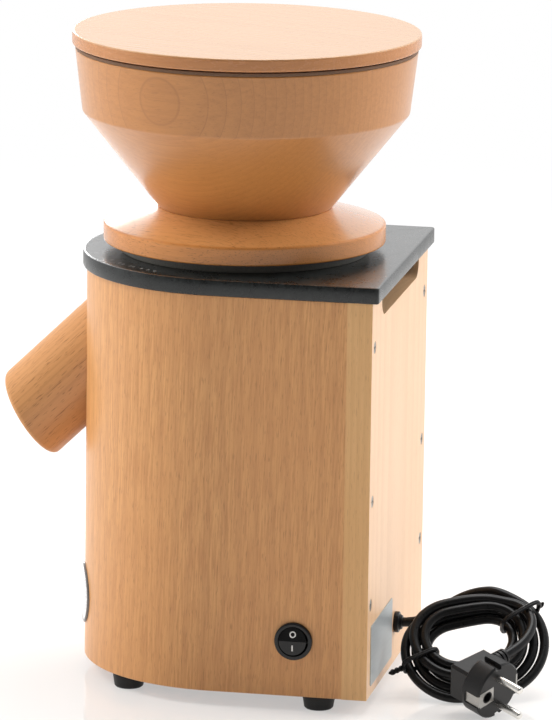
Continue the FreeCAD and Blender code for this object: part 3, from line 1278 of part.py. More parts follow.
def switch_leads():
    """Two wires from the switch tabs to the terminal block."""
    leads = []
    tab_x = BODY_HALF - SWITCH_DEPTH - TAB_LENGTH
    wide, deep, high = BLOCK_SIZE
    for side in (-1, 1):
        start = V(tab_x, SWITCH_Y, SWITCH_HEIGHT + side * SWITCH_BARREL_R / 2)
        end = V(BLOCK_X + wide, BLOCK_Y + deep * (0.3 + 0.15 * side), BASE_TOP + high / 2)
        reach = (start.x - end.x) / 3
        points = [start, start - V(reach, 0, 0), end + V(reach, 0, 0), end]
        leads.append(routed_tube(points, WIRE_R, "switch lead"))
    return leads


STATOR_LEADS = [
    V(BLOCK_X + BLOCK_SIZE[0] / 2, BLOCK_Y + BLOCK_SIZE[1] * 5 / 6, BASE_TOP + BLOCK_SIZE[2]),
    V(CAPACITOR_X, CAPACITOR_Y, BASE_TOP + CAPACITOR_HEIGHT),
]
STATOR_LEAD_HEIGHT = STACK_BOTTOM - SHIELD_SKIRT / 2


def stator_lead_way(start):
    """Level direction from a lead's start towards the motor axis, and the lead's end at the windings."""
    away = V(start.x, start.y, 0)
    away.normalize()
    return away, away * (WINDING_OUT_R + FIT) + V(0, 0, STATOR_LEAD_HEIGHT)


def motor_leads():
    leads = []
    for start in STATOR_LEADS:
        away, end = stator_lead_way(start)
        level = V(start.x, start.y, STATOR_LEAD_HEIGHT)
        rise = STATOR_LEAD_HEIGHT - start.z
        bend = min(rise, MOTOR_R / 6) / 2
        points = [start, level - V(0, 0, bend), level - away * bend, end]
        leads.append(routed_tube(points, SLEEVE_WIRE_R, "stator lead"))
    return leads


PIECES = {
    "side_shell": side_shell, "back_panel": back_panel, "back_panel_screws": back_panel_screws,
    "top_plate": top_plate, "base_plate": base_plate, "base_battens": base_battens,
    "base_screws": base_screws, "rubber_feet": rubber_feet, "foot_screws": foot_screws,
    "front_badge": front_badge, "spout": spout, "threaded_ring": threaded_ring,
    "ring_screws": ring_screws, "grinding_chamber": grinding_chamber, "chamber_screws": chamber_screws,
    "shaft_seal": shaft_seal, "motor_board": motor_board, "board_ledges": board_ledges,
    "board_screws": board_screws, "motor_top_shield": motor_shield,
    "motor_bottom_shield": motor_bottom_shield, "stator_core": stator_core,
    "stator_windings": stator_windings, "motor_bolts": motor_bolts, "motor_nuts": motor_nuts,
    "upper_bearing": lambda: bearing(TOP_SEAT - BEARING_WIDTH),
    "lower_bearing": lambda: bearing(BOTTOM_SEAT), "motor_shaft": motor_shaft, "rotor_core": rotor_core,
    "cooling_fan": cooling_fan, "stone_carrier": stone_carrier, "drive_pin": drive_pin,
    "lower_stone": lower_stone, "stone_nut": stone_nut, "felt_ring": felt_ring,
    "threaded_neck": threaded_neck, "neck_screws": neck_screws, "upper_stone": upper_stone,
    "hopper_collar": hopper_collar, "hopper_funnel": hopper_funnel, "lid": lid,
    "lid_locating_disc": lid_locating_disc, "lid_underlay": lid_underlay,
    "switch_housing": switch_housing, "switch_rocker": switch_rocker, "capacitor": capacitor,
    "terminal_block": terminal_block, "inner_cord": inner_cord, "cord_clamp": cord_clamp,
    "switch_leads": switch_leads, "motor_leads": motor_leads, "cord_grommet": cord_grommet,
    "power_cord_lead": power_cord_lead, "power_cord_coil": power_cord_coil,
    "power_cord_tail": power_cord_tail, "cord_ties": cord_ties, "plug_body": plug_body,
    "plug_pins": plug_pins, "plug_earth_contacts": plug_earth_contacts,
}

os.makedirs("parts", exist_ok=True)
for name, make in PIECES.items():
    made = make()
    save(name, *(made if isinstance(made, list) else [made]))
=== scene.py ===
import json
import math

import bmesh
import bpy
import numpy as np
from mathutils import Matrix, Vector


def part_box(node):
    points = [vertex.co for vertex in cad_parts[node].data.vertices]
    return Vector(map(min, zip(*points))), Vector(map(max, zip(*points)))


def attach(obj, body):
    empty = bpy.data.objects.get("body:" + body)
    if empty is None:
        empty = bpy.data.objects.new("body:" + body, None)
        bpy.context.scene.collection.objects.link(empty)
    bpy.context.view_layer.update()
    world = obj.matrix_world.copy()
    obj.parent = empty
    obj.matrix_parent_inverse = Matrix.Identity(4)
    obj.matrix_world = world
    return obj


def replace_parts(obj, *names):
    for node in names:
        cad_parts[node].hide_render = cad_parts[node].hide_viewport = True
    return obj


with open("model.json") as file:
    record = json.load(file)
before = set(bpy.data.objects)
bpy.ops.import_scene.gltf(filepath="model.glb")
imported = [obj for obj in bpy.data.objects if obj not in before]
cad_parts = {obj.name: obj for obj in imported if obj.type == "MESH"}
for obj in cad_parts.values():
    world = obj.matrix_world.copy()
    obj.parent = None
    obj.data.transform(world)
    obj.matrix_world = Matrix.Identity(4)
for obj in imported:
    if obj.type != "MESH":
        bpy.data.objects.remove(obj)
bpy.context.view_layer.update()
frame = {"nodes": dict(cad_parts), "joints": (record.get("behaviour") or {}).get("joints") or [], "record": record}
nodes = frame["nodes"]
slotOf = {part["node"]: part["material_slot"] for part in frame["record"]["subparts"]}
scene = bpy.context.scene
millY = next(j["pos_m"][1] for j in frame["joints"] if j["name"] == "millstone_spin")


def rowPoints(points):
    # millimetres about the mill axis to metres in the row frame
    return np.asarray(points, float) / 1000 + (0, millY, 0)


def nodeBox(name):
    # lowest and highest corners of a CAD node, in millimetres about the mill axis
    return [(np.array(corner) - (0, millY, 0)) * 1000 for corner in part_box(name)]


def cosSin(degrees):
    # cosine and sine of an angle in degrees
    return math.cos(math.radians(degrees)), math.sin(math.radians(degrees))


panelLow, panelHigh = nodeBox("back_panel")
mill = {"half": panelHigh[0], "seam": panelLow[1], "back": panelHigh[1], "low": panelLow[2], "high": panelHigh[2]}

# camera: place, right, up and forward vectors found from the photo's edges
camera = {"place": (3.68894, millY + 0.73804, 1.02039), "right": (-0.19364, 0.98099, 0.01302),
          "up": (-0.20742, -0.05391, 0.97677), "ahead": (-0.95890, -0.18644, -0.21391),
          "lens": 309.27, "sensor": 36, "clipEnd": 60}
lensData = bpy.data.cameras.new("photoCamera")
lensData.lens, lensData.sensor_width, lensData.clip_end = camera["lens"], camera["sensor"], camera["clipEnd"]
eye = bpy.data.objects.new("photoCamera", lensData)
scene.collection.objects.link(eye)
turn = Matrix([camera["right"], camera["up"], [-a for a in camera["ahead"]]]).transposed()
eye.matrix_world = Matrix.Translation(camera["place"]) @ turn.to_4x4()
scene.camera = eye
print("camera set")


class Field:
    # one output socket, with arithmetic

    def __init__(self, shade, socket):
        self.shade, self.socket = shade, socket

    def calc(self, operation, *values):
        return self.shade.node("ShaderNodeMath", {"operation": operation}, dict(enumerate(values)))

    def __add__(self, other):
        return self.calc("ADD", self, other)

    __radd__ = __add__

    def __sub__(self, other):
        return self.calc("SUBTRACT", self, other)

    def __rsub__(self, other):
        return self.calc("SUBTRACT", other, self)

    def __mul__(self, other):
        return self.calc("MULTIPLY", self, other)

    __rmul__ = __mul__

    def __pow__(self, power):
        return self.calc("POWER", self, power)

    def dot(self, direction):
        return self.shade.node("ShaderNodeVectorMath", {"operation": "DOT_PRODUCT"}, {0: self, 1: direction}, "Value")

    def ramp(self, low, high):
        # 0 below low, 1 above high, smooth between
        return self.shade.node("ShaderNodeMapRange", {"interpolation_type": "SMOOTHSTEP"},
                               {"Value": self, "From Min": low, "From Max": high})


class Shade:
    # the nodes of one material or world

    def __init__(self, owner, surface="Principled BSDF"):
        owner.use_nodes = True
        self.owner, self.tree = owner, owner.node_tree
        self.surface = self.tree.nodes[surface]

    def node(self, kind, settings, inputs, output=0):
        made = self.tree.nodes.new(kind)
        for key, value in settings.items():
            setattr(made, key, value)
        for key, value in inputs.items():
            self.put(made.inputs[key], value)
        return Field(self, made.outputs[output])

    def put(self, socket, value):
        if isinstance(value, Field):
            self.tree.links.new(value.socket, socket)
        else:
            socket.default_value = value

    def place(self):
        return self.node("ShaderNodeTexCoord", {}, {}, "Object")

    def spots(self, scale):
        # object coordinates as three fields, times scale
        place = self.place()
        return [place.dot(axis) * scale for axis in ((1, 0, 0), (0, 1, 0), (0, 0, 1))]

    def noise(self, x, y, z, detail=2.0, rough=0.5):
        spot = self.node("ShaderNodeCombineXYZ", {}, {0: x, 1: y, 2: z})
        return self.node("ShaderNodeTexNoise", {}, {"Vector": spot, "Scale": 1.0, "Detail": detail, "Roughness": rough})

    def blend(self, share, first, second, kind="MIX"):
        settings = {"data_type": "RGBA", "blend_type": kind}
        return self.node("ShaderNodeMix", settings, {0: share, 6: first, 7: second}, 2)

    def bump(self, height, strength, distance):
        return self.node("ShaderNodeBump", {}, {"Height": height, "Strength": strength, "Distance": distance})

    def finish(self, **values):
        for key, value in values.items():
            self.put(self.surface.inputs[key.replace("_", " ")], value)
        return self.owner


def newShade(name):
    return Shade(bpy.data.materials.new(name))


def colour(red, green, blue):
    return (red, green, blue, 1)


# noise scales along and across the grain, per metre; where in a ring its line peaks and its late wood lies;
# which values of the noise count as fibre, patch and fleck
grainShape = {"slow": (5, 18), "patch": (7, 15), "fleck": (130, 1600), "linePeak": 0.94, "late": (0.15, 0.9),
              "fibreRough": 0.62, "fibreRamp": (0.36, 0.72), "patchRamp": (0.38, 0.68), "fleckRamp": (0.6, 0.7),
              "glossChange": 0.06, "reliefDepth": 0.0004}


def woodGrain(shade, look, alongGrain, across, deep, ringDistance):
    # growth rings: saw of the distance from the pith, bent by slow noise, darkest at each ring's end
    # fibres and flecks: noise drawn out along the grain; patches: slow noise
    def drawnOut(scale, detail, rough=0.5):
        return shade.noise(alongGrain * scale[0], across * scale[1], deep * scale[1], detail, rough)

    bent = drawnOut(grainShape["slow"], 2) * look["waver"]
    ring = ringDistance * (1 / look["ringStep"]) + bent + look["phase"]
    saw = ring.calc("FRACT", ring)
    peak, (lateFrom, lateTo) = grainShape["linePeak"], grainShape["late"]
    line = saw.ramp(look["ringFrom"], peak) * (1 - saw.ramp(peak, look["ringTo"]))
    late = saw.ramp(lateFrom, lateTo) * (1 - saw.ramp(lateTo, 1.0))
    fibre = drawnOut((look["streak"], look["fine"]), 3, grainShape["fibreRough"])
    fleck = drawnOut(grainShape["fleck"], 1).ramp(*grainShape["fleckRamp"])
    patch = drawnOut(grainShape["patch"], 2).ramp(*grainShape["patchRamp"])
    tone = shade.blend(late * look["lateShare"], look["pale"], look["dark"])
    tone = shade.blend(line * look["ringShare"], tone, look["ringTint"])
    tone = shade.blend(fibre.ramp(*grainShape["fibreRamp"]) * look["fibreShare"], tone, look["dark"])
    tone = shade.blend(patch * look["patchShare"], tone, look["warm"])
    tone = shade.blend(fleck * look["fleckShare"], tone, look["fleck"])
    gloss = look["rough"] + (fibre - 0.5) * grainShape["glossChange"]
    return tone, gloss, shade.bump(fibre, look["relief"], grainShape["reliefDepth"])


def solidWood(name, look):
    # wood cut from one block: the pith is a line along look["grain"], pithOut metres away towards pithSide
    shade = newShade(name)
    grain, side = Vector(look["grain"]).normalized(), Vector(look["pithSide"]).normalized()
    third = grain.cross(side)
    middle = Vector((0, millY, look["pithHeight"]))
    place = shade.place()
    alongGrain, towards = place.dot(grain), place.dot(side) - middle.dot(side)
    other = place.dot(third) - middle.dot(third)
    gap = (towards - look["pithOut"]) ** 2 + other ** 2
    tone, gloss, relief = woodGrain(shade, look, alongGrain, towards, other, gap ** 0.5)
    coat, edge = look["varnish"], look["edge"]
    if edge:
        # painted shade: tinted darker past a distance along the axis, on both sides, so that a side reads darker than
        # the lit face beside it: ramp of the squared distance; less varnish there
        start, end = edge["span"]
        share = (place.dot(edge["axis"]) ** 2).ramp(start ** 2, end ** 2)
        tone = shade.blend(share, tone, edge["tint"], "MULTIPLY")
        if coat:
            coat = coat * (1 - share * edge["varnishLoss"])
    return shade.finish(Base_Color=tone, Roughness=gloss, Normal=relief, Coat_Weight=coat,
                        Coat_Roughness=look["varnishRough"])


def veneerWood(name, look):
    # bent sheet: u runs round the cabinet and v up it, in metres; grain upright, rings as slow arches
    shade = newShade(name)
    sheet = shade.node("ShaderNodeTexCoord", {}, {}, "UV")
    u, v = sheet.dot((1, 0, 0)), sheet.dot((0, 1, 0))
    slant = u - v * look["slant"]
    tone, gloss, relief = woodGrain(shade, look, v, slant, look["deep"], slant + v * v * look["arch"])
    return shade.finish(Base_Color=tone, Roughness=gloss, Normal=relief, Coat_Weight=look["varnish"],
                        Coat_Roughness=look["varnishRough"])


beechLook = {"pale": colour(0.475, 0.205, 0.062), "dark": colour(0.365, 0.145, 0.04),
             "warm": colour(0.435, 0.175, 0.05), "ringTint": colour(0.28, 0.105, 0.03),
             "fleck": colour(0.2, 0.07, 0.02), "ringStep": 0.004, "waver": 0.3, "phase": 0.485, "ringFrom": 0.89,
             "ringTo": 0.975, "ringShare": 0.46, "lateShare": 0.0, "fibreShare": 0.3, "patchShare": 0.4,
             "fleckShare": 0.2, "streak": 22, "fine": 760, "relief": 0.006, "rough": 0.3, "varnish": 0.0,
             "varnishRough": 0.12, "edge": None}
shellLook = {**beechLook, "pale": colour(0.675, 0.342, 0.126), "dark": colour(0.48, 0.21, 0.07),
             "warm": colour(0.60, 0.277, 0.098), "ringTint": colour(0.46, 0.205, 0.07), "ringStep": 0.010, "waver": 1.8,
             "ringFrom": 0.3, "ringTo": 1.0, "ringShare": 0.34, "fibreShare": 0.8, "fleckShare": 0.34, "streak": 38,
             "slant": 0.035, "arch": 0.08, "deep": 0.3, "relief": 0.06, "rough": 0.42, "varnish": 0.2,
             "varnishRough": 0.32}
funnelLook = {**beechLook, "pale": colour(0.525, 0.225, 0.062), "dark": colour(0.40, 0.157, 0.04),
              "warm": colour(0.48, 0.192, 0.05), "grain": (0.332, 0.943, 0), "pithSide": (0.943, -0.332, 0),
              "pithOut": 0.215, "pithHeight": 0.3615, "lateShare": 0.18, "fibreShare": 0.5, "fine": 420,
              "varnish": 0.38, "varnishRough": 0.28}
collarLook = {**funnelLook, "pale": colour(0.78, 0.365, 0.118), "dark": colour(0.62, 0.27, 0.08),
              "warm": colour(0.72, 0.325, 0.1), "pithHeight": 0.2, "pithOut": 0.05, "ringShare": 0.25,
              "fleckShare": 0.5, "rough": 0.24, "varnish": 1.0, "varnishRough": 0.2,
              # painted shade: the collar's outer side below its top is multiplied by this tint, darker than the lit top
              "edge": {"tint": colour(0.80, 0.68, 0.52), "axis": (0, 0, 1), "span": (0.2853, 0.2847),
                       "varnishLoss": 0.8}}
lidLook = {**funnelLook, "pale": colour(0.54, 0.305, 0.15), "dark": colour(0.45, 0.235, 0.105),
           "warm": colour(0.5, 0.265, 0.12), "pithHeight": 0.15, "pithOut": 0.02, "ringShare": 0.22, "fibreShare": 0.16,
           "fleckShare": 0.06, "rough": 0.27, "varnish": 0.4, "varnishRough": 0.12,
           # painted shade: the lid's rim below its top is multiplied by this tint, darker than the lit top
           "edge": {"tint": colour(0.94, 0.72, 0.53), "axis": (0, 0, 1), "span": (0.4037, 0.4030),
                    "varnishLoss": 0.8}}
panelSide = mill["half"] / 1000
# pale colours: the plywood's own light tone, made paler still as painted light for its brightly lit face; the tint on
# its side edges is painted shade against that face
panelLook = {**beechLook, "pale": colour(0.74, 0.475, 0.28), "dark": colour(0.59, 0.335, 0.165),
             "warm": colour(0.66, 0.395, 0.20), "ringTint": colour(0.60, 0.345, 0.17), "grain": (0, 0, 1),
             "pithSide": (0, 1, 0), "pithOut": 0.35, "pithHeight": 0.1, "ringFrom": 0.3, "ringTo": 1.0,
             "ringShare": 0.35, "rough": 0.36,
             "edge": {"tint": colour(0.98, 0.9, 0.66), "axis": (1, 0, 0),
                      "span": (panelSide - 0.0006, panelSide - 0.0003)}}
plyLook = {**panelLook, "grain": (1, 0, 0), "pithSide": (0, 0, 1), "pithOut": 0.5, "edge": None}
spoutLook = {**beechLook, "pale": colour(0.60, 0.29, 0.108), "dark": colour(0.45, 0.195, 0.066),
             "warm": colour(0.55, 0.25, 0.085), "grain": (0, -0.718, -0.696), "pithSide": (1, 0, 0), "pithOut": 0.12,
             "pithHeight": 0.17, "fleckShare": 0.6, "ringFrom": 0.5, "ringTo": 1.0, "ringShare": 0.2, "rough": 0.44}


def plain(name, base, rough, metal=0.0, size=0.0012, depth=0.00002, change=0.12, shine=0.5):
    # one colour with fine unevenness: noise of that size in metres moves tone, gloss and height
    shade = newShade(name)
    fine = shade.noise(*shade.spots(1 / size), 3)
    low, high = [colour(*[b * share for b in base]) for share in (1 - change, 1 + change)]
    tone = shade.blend(fine.ramp(0.3, 0.7), low, high)
    return shade.finish(Base_Color=tone, Roughness=rough + (fine - 0.5) * 0.16, Metallic=metal,
                        Specular_IOR_Level=shine, Normal=shade.bump(fine, 0.4, depth))


def slateFinish(name, look):
    # dark stone-like laminate: cloudy patches with fine grains over them, both also in the gloss
    shade = newShade(name)
    cloud = shade.noise(*shade.spots(1 / look["cloud"]), 4, 0.6)
    grain = shade.noise(*shade.spots(1 / look["grain"]), 2, 0.6)
    tone = shade.blend(cloud.ramp(*look["cloudRamp"]), look["dark"], look["middle"])
    tone = shade.blend(grain.ramp(*look["grainRamp"]) * look["grainShare"], tone, look["pale"])
    gloss = look["rough"] + cloud * look["glossChange"] + (grain - 0.5) * look["glossChange"]
    # the sawn edge below the top face has no coat, and its darker tone is painted shade against the lighter, lit top
    top = shade.place().dot((0, 0, 1)).ramp(*look["edgeSpan"])
    tone = shade.blend(1 - top, tone, look["edgeTint"], "MULTIPLY")
    return shade.finish(Base_Color=tone, Roughness=gloss, Specular_IOR_Level=look["shine"],
                        Coat_Weight=top * look["coat"], Coat_Roughness=look["coatRough"],
                        Normal=shade.bump(grain + cloud, look["relief"], look["reliefDepth"]))


def brushedFinish(name, base, rough):
    # sheet metal brushed along x: noise drawn out that way
    shade = newShade(name)
    x, y, z = shade.spots(1.0)
    hair = shade.noise(x * 30, y * 2500, z * 2500, 2)
    low, high = [colour(*[b * share for b in base]) for share in (0.9, 1.08)]
    tone = shade.blend(hair.ramp(0.3, 0.7), low, high)
    return shade.finish(Base_Color=tone, Roughness=rough + (hair - 0.5) * 0.2, Metallic=0.35,
                        Normal=shade.bump(hair, 0.1, 0.00003))


slateLook = {"dark": colour(0.012, 0.0145, 0.0145), "middle": colour(0.027, 0.032, 0.032),
             "pale": colour(0.14, 0.158, 0.162), "cloud": 0.011, "cloudRamp": (0.35, 0.68), "grain": 0.0014,
             "grainRamp": (0.54, 0.74), "grainShare": 0.22, "rough": 0.2, "glossChange": 0.2, "shine": 0.5,
             # the edge's multiplier is painted shade on the sawn edge
             "edgeTint": colour(0.42, 0.42, 0.4), "edgeSpan": (0.2664, 0.2668), "coat": 0.6, "coatRough": 0.22,
             "relief": 0.35, "reliefDepth": 0.00012}
finishes = {
    "beech": veneerWood("beechShell", shellLook),
    "beech_lid": solidWood("beechLid", lidLook),
    "beech_panel": solidWood("beechPanel", panelLook),
    "plywood": solidWood("plywood", plyLook),
    "slate_plate": slateFinish("slatePlate", slateLook),
    "ring_grey": plain("ringGrey", (0.12, 0.115, 0.1), 0.42),
    "chamber_grey": plain("chamberGrey", (0.2, 0.2, 0.19), 0.5),
    "felt": plain("felt", (0.55, 0.52, 0.46), 0.9, size=0.0008, depth=0.0003, change=0.25),
    "lid_seal": plain("lidSeal", (0.15, 0.078, 0.04), 0.6),
    "millstone": plain("millstone", (0.42, 0.41, 0.38), 0.82, size=0.0014, depth=0.0003, change=0.4),
    "steel": plain("steel", (0.5, 0.5, 0.5), 0.32, 1.0),
    "core_steel": plain("coreSteel", (0.3, 0.3, 0.31), 0.5, 1.0),
    "copper": plain("copper", (0.75, 0.38, 0.2), 0.35, 1.0),
    "cast_aluminium": plain("castAluminium", (0.55, 0.56, 0.57), 0.55, 1.0, size=0.001, depth=0.0001, change=0.1),
    "rubber_black": plain("rubberBlack", (0.010, 0.010, 0.0095), 0.5, size=0.0009, depth=0.00003, change=0.2,
                          shine=0.35),
    "badge_white": plain("badgeWhite", (0.78, 0.77, 0.75), 0.3, size=0.002, depth=0.00001, change=0.03),
    "switch_black": plain("switchBlack", (0.0075, 0.0075, 0.0075), 0.24, size=0.0007, depth=0.00001, change=0.15,
                          shine=0.4),
    "inner_plastic": plain("innerPlastic", (0.05, 0.05, 0.055), 0.5),
    "cord_black": plain("cordBlack", (0.008, 0.008, 0.0085), 0.3, size=0.0016, depth=0.00004, change=0.2, shine=0.22),
    "wire": plain("wire", (0.10, 0.16, 0.4), 0.45),
    "tie_black": plain("tieBlack", (0.008, 0.008, 0.009), 0.38, size=0.001, change=0.15, shine=0.25),
    "plug_grey": plain("plugGrey", (0.013, 0.013, 0.0135), 0.4, size=0.0007, depth=0.00005, change=0.2, shine=0.3),
    "pin_metal": plain("pinMetal", (0.82, 0.8, 0.76), 0.24, 1.0, size=0.0006, depth=0.00001, change=0.05),
}
funnelWood, collarWood = solidWood("beechFunnel", funnelLook), solidWood("beechCollar", collarLook)
spoutWood = solidWood("beechSpout", spoutLook)
earthNickel = plain("earthNickel", (0.42, 0.41, 0.39), 0.34, 1.0, size=0.0006, depth=0.00001, change=0.08)
nodeFinish = {"plug_earth_contacts": earthNickel}
for name, slot in slotOf.items():
    if name in nodes:
        nodes[name].data.materials.clear()
        nodes[name].data.materials.append(nodeFinish.get(name, finishes[slot]))
print("materials made")

sharpAngle = 32


def gridFaces(rows, columns, wrapRows, wrapColumns):
    # quads of a grid whose vertex (i, j) is number i * columns + j
    i = np.arange(rows if wrapRows else rows - 1)[:, None]
    j = np.arange(columns if wrapColumns else columns - 1)[None, :]
    down, right = (i + 1) % rows, (j + 1) % columns
    corners = [i * columns + j, down * columns + j, down * columns + right, i * columns + right]
    return np.stack(np.broadcast_arrays(*corners), -1).reshape(-1, 4).tolist()


def joined(shapes):
    # several shapes as one: each face's numbers move up by the points before it
    before = np.cumsum([0] + [len(points) for points, faces in shapes])
    faces = [[int(k + start) for k in face] for (points, quads), start in zip(shapes, before) for face in quads]
    return np.concatenate([points for points, faces in shapes]), faces


def closedMesh(name, shape, uv=None):
    # doubles merged, so that seams and poles close, and faces turned outwards
    points, faces = shape
    mesh = bpy.data.meshes.new(name)
    mesh.from_pydata(rowPoints(points).tolist(), [], faces)
    if uv is not None:
        corner = np.empty(len(mesh.loops), np.int32)
        mesh.loops.foreach_get("vertex_index", corner)
        mesh.uv_layers.new(name="sheet").data.foreach_set("uv", np.asarray(uv, np.float32)[corner].ravel())
    bench = bmesh.new()
    bench.from_mesh(mesh)
    bmesh.ops.remove_doubles(bench, verts=bench.verts, dist=1e-7)
    bmesh.ops.dissolve_degenerate(bench, dist=1e-7, edges=bench.edges)
    bmesh.ops.recalc_face_normals(bench, faces=bench.faces)
    bench.to_mesh(mesh)
    bench.free()
    return mesh


def addPiece(name, shape, body, slot, material=None, replaced=(), uv=None, sharp=sharpAngle):
    # a shape as a finished piece: smooth, with creases past the sharp angle
    mesh = closedMesh(name, shape, uv)
    mesh.shade_smooth()
    mesh.set_sharp_from_angle(angle=math.radians(sharp))
    piece = bpy.data.objects.new(name, mesh)
    scene.collection.objects.link(piece)
    mesh.materials.append(material or finishes[slot])
    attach(piece, body)
    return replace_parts(piece, *replaced) if replaced else piece


def rounded(corners, radii, steps=5):
    # corner P between its neighbours becomes the curve (1-s)^2 A + 2s(1-s) P + s^2 B, with A and B that far along the
    # sides, and one more point a little further along each side, so that the flat stays flat in its shading
    further = 1.4
    spot = np.asarray(corners, float)
    before, after = np.roll(spot, 1, 0) - spot, np.roll(spot, -1, 0) - spot
    reach = np.broadcast_to(np.asarray(radii, float), len(spot))[:, None]
    back = before / np.linalg.norm(before, axis=1, keepdims=True) * reach
    ahead = after / np.linalg.norm(after, axis=1, keepdims=True) * reach
    s = np.linspace(0, 1, steps)[None, :, None]
    start, end = spot + back, spot + ahead
    curve = (1 - s) ** 2 * start[:, None] + 2 * s * (1 - s) * spot[:, None] + s ** 2 * end[:, None]
    first, last = (spot + further * back)[:, None], (spot + further * ahead)[:, None]
    return np.concatenate([first, curve, last], 1).reshape(-1, 2)


def turnedGrid(profile, start=(0, 0, 0), axis=(0, 0, 1), steps=240):
    # P(a, k) = start + axis z + r (side cos a + third sin a) for each profile point (r, z)
    ahead = np.asarray(axis, float)
    side = np.cross(ahead, (0, 1, 0) if abs(ahead[1]) < 0.9 else (1, 0, 0))
    third = np.cross(ahead, side)
    a = np.linspace(0, 2 * np.pi, steps, endpoint=False)[:, None, None]
    r, z = np.asarray(profile, float).T[..., None]
    grid = np.asarray(start, float) + ahead * z + r * (side * np.cos(a) + third * np.sin(a))
    return grid.reshape(-1, 3), gridFaces(steps, len(r), True, True)


def turnedPiece(piece, body, material=None):
    # profile with its corners rounded, turned about the mill axis in place of its CAD node
    shape = turnedGrid(rounded(piece["profile"], piece["radii"]))
    return addPiece(piece["name"], shape, body, slotOf[piece["stands for"]], material, [piece["stands for"]])


def prism(outline, place):
    # closed outline of (u, v) points from w = 0 to w = 1; place turns (u, v, w) into millimetres about the mill axis
    n = len(outline)
    k = np.arange(n)
    points = np.concatenate([place(outline[:, 0], outline[:, 1], w) for w in (0, 1)])
    sides = np.stack([k, (k + 1) % n, (k + 1) % n + n, k + n], 1).tolist()
    return points, sides + [k[::-1].tolist(), (k + n).tolist()]


def boxCorners(low, high):
    # rectangle from its lowest to its highest corner
    (u0, v0), (u1, v1) = low, high
    return [(u0, v0), (u1, v0), (u1, v1), (u0, v1)]


# cord: route points of the free ends, with the coil's turns from a loop
cordLook = {"diameter": 0.006, "length": 1.112,
            "lead": [(0, 103.7, 34.3), (0, 111.5, 34.9), (-0.4, 119.4, 38.4), (-1.2, 127.0, 43.2), (-2.8, 137.2, 50.4),
                     (-4.0, 145.0, 54.0), (-4.4, 153.2, 56.3), (-3.4, 161.9, 57.2)],
            "tail": [(9.3, 171.2, 53.8), (10.5, 178.2, 52.7), (14.0, 184.2, 50.3), (19.3, 188.1, 46.9),
                     (25.7, 189.2, 43.1), (32.4, 188.1, 39.4), (39.3, 185.6, 36.2), (46.228, 181.523, 33.49),
                     (53.326, 176.55, 31.064)]}
# each half turn's radius and how far its middle lies up the slope; loose turns sag at the top, the tighter ones less
# the cord joins the first half turn and leaves the last one at so many degrees, and crosses to the front layer once
coil = {"middle": np.array([27, 153.2, 30.7]), "along": np.array([-0.33096, 0.93213, 0.14702]),
        "rise": np.array([-0.63928, -0.33606, 0.69166]), "out": np.array([0.69412, 0.13492, 0.70711]),
        "flat": {-1: 8.6, 1: 6}, "layer": 6.6, "crossing": 6, "joins": 45, "leaves": 20, "steps": 10, "lowest": 3.05,
        "turns": [(38, 0), (34.7, -3.3), (31.4, 0), (28.1, -3.3), (24.8, 0), (21.5, -3.3), (18.2, 0), (21.5, 3.3),
                  (24.8, 0), (28.1, 3.3), (31.4, 0)], "outerSag": 4.6, "sagLoss": 0.1}
route = [np.array(p) for p in cordLook["lead"]]
steps, lastTurn, outermost = coil["steps"], len(coil["turns"]) - 1, coil["turns"][0][0]
for number, (radius, centre) in enumerate(coil["turns"]):
    way = 1 if number % 2 == 0 else -1
    for k in range(steps):
        # corners of the polygon that the half turn touches: radius / cos(half a step), at the middle of each step
        past = (k + 0.5) * 180 / steps
        if (number == 0 and past < coil["joins"]) or (number == lastTurn and past > coil["leaves"]):
            continue
        swing = math.radians(180 - 90 * way - past)
        reach = radius / math.cos(math.radians(90 / steps))
        layer = coil["layer"] * (past / 180 if number == coil["crossing"] else number > coil["crossing"])
        sag = (coil["outerSag"] - coil["sagLoss"] * (outermost - radius)) * max(math.sin(swing), 0) ** 2
        spot = (coil["middle"] + coil["along"] * (way * coil["flat"][way] + reach * math.cos(swing))
                + coil["rise"] * (centre + reach * math.sin(swing) - sag) + coil["out"] * layer)
        route.append(np.maximum(spot, (-np.inf, -np.inf, coil["lowest"])))
route += [np.array(p) for p in cordLook["tail"]]
line = bpy.data.curves.new("powerCordLine", "CURVE")
line.dimensions, line.bevel_depth, line.bevel_resolution, line.resolution_u = "3D", cordLook["diameter"] / 2, 5, 6
line.use_fill_caps = True
spline = line.splines.new("NURBS")
spline.points.add(len(route) - 1)
spline.points.foreach_set("co", np.column_stack([rowPoints(route), np.ones(len(route))]).ravel())
spline.order_u = 3
spline.use_endpoint_u = True
cordPiece = bpy.data.objects.new("powerCordLine", line)
scene.collection.objects.link(cordPiece)
line.materials.append(finishes["cord_black"])
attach(cordPiece, "housing")
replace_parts(cordPiece, "power_cord_lead", "power_cord_coil", "power_cord_tail")


def tubeGrid(path, radius, side, around=12):
    # P(t, a) = C(t) + radius (N cos a + B sin a), N square to the path and to side, B square to both
    run = np.gradient(path, axis=0)
    run /= np.linalg.norm(run, axis=1, keepdims=True)
    first = np.cross(run, side)
    first /= np.linalg.norm(first, axis=1, keepdims=True)
    second = np.cross(run, first)
    a = np.linspace(0, 2 * np.pi, around, endpoint=False)[None, :, None]
    grid = path[:, None] + radius * (first[:, None] * np.cos(a) + second[:, None] * np.sin(a))
    faces = gridFaces(len(path), around, False, True)
    caps = [list(range(around)), list(range(len(path) * around - around, len(path) * around))]
    return grid.reshape(-1, 3), faces + caps


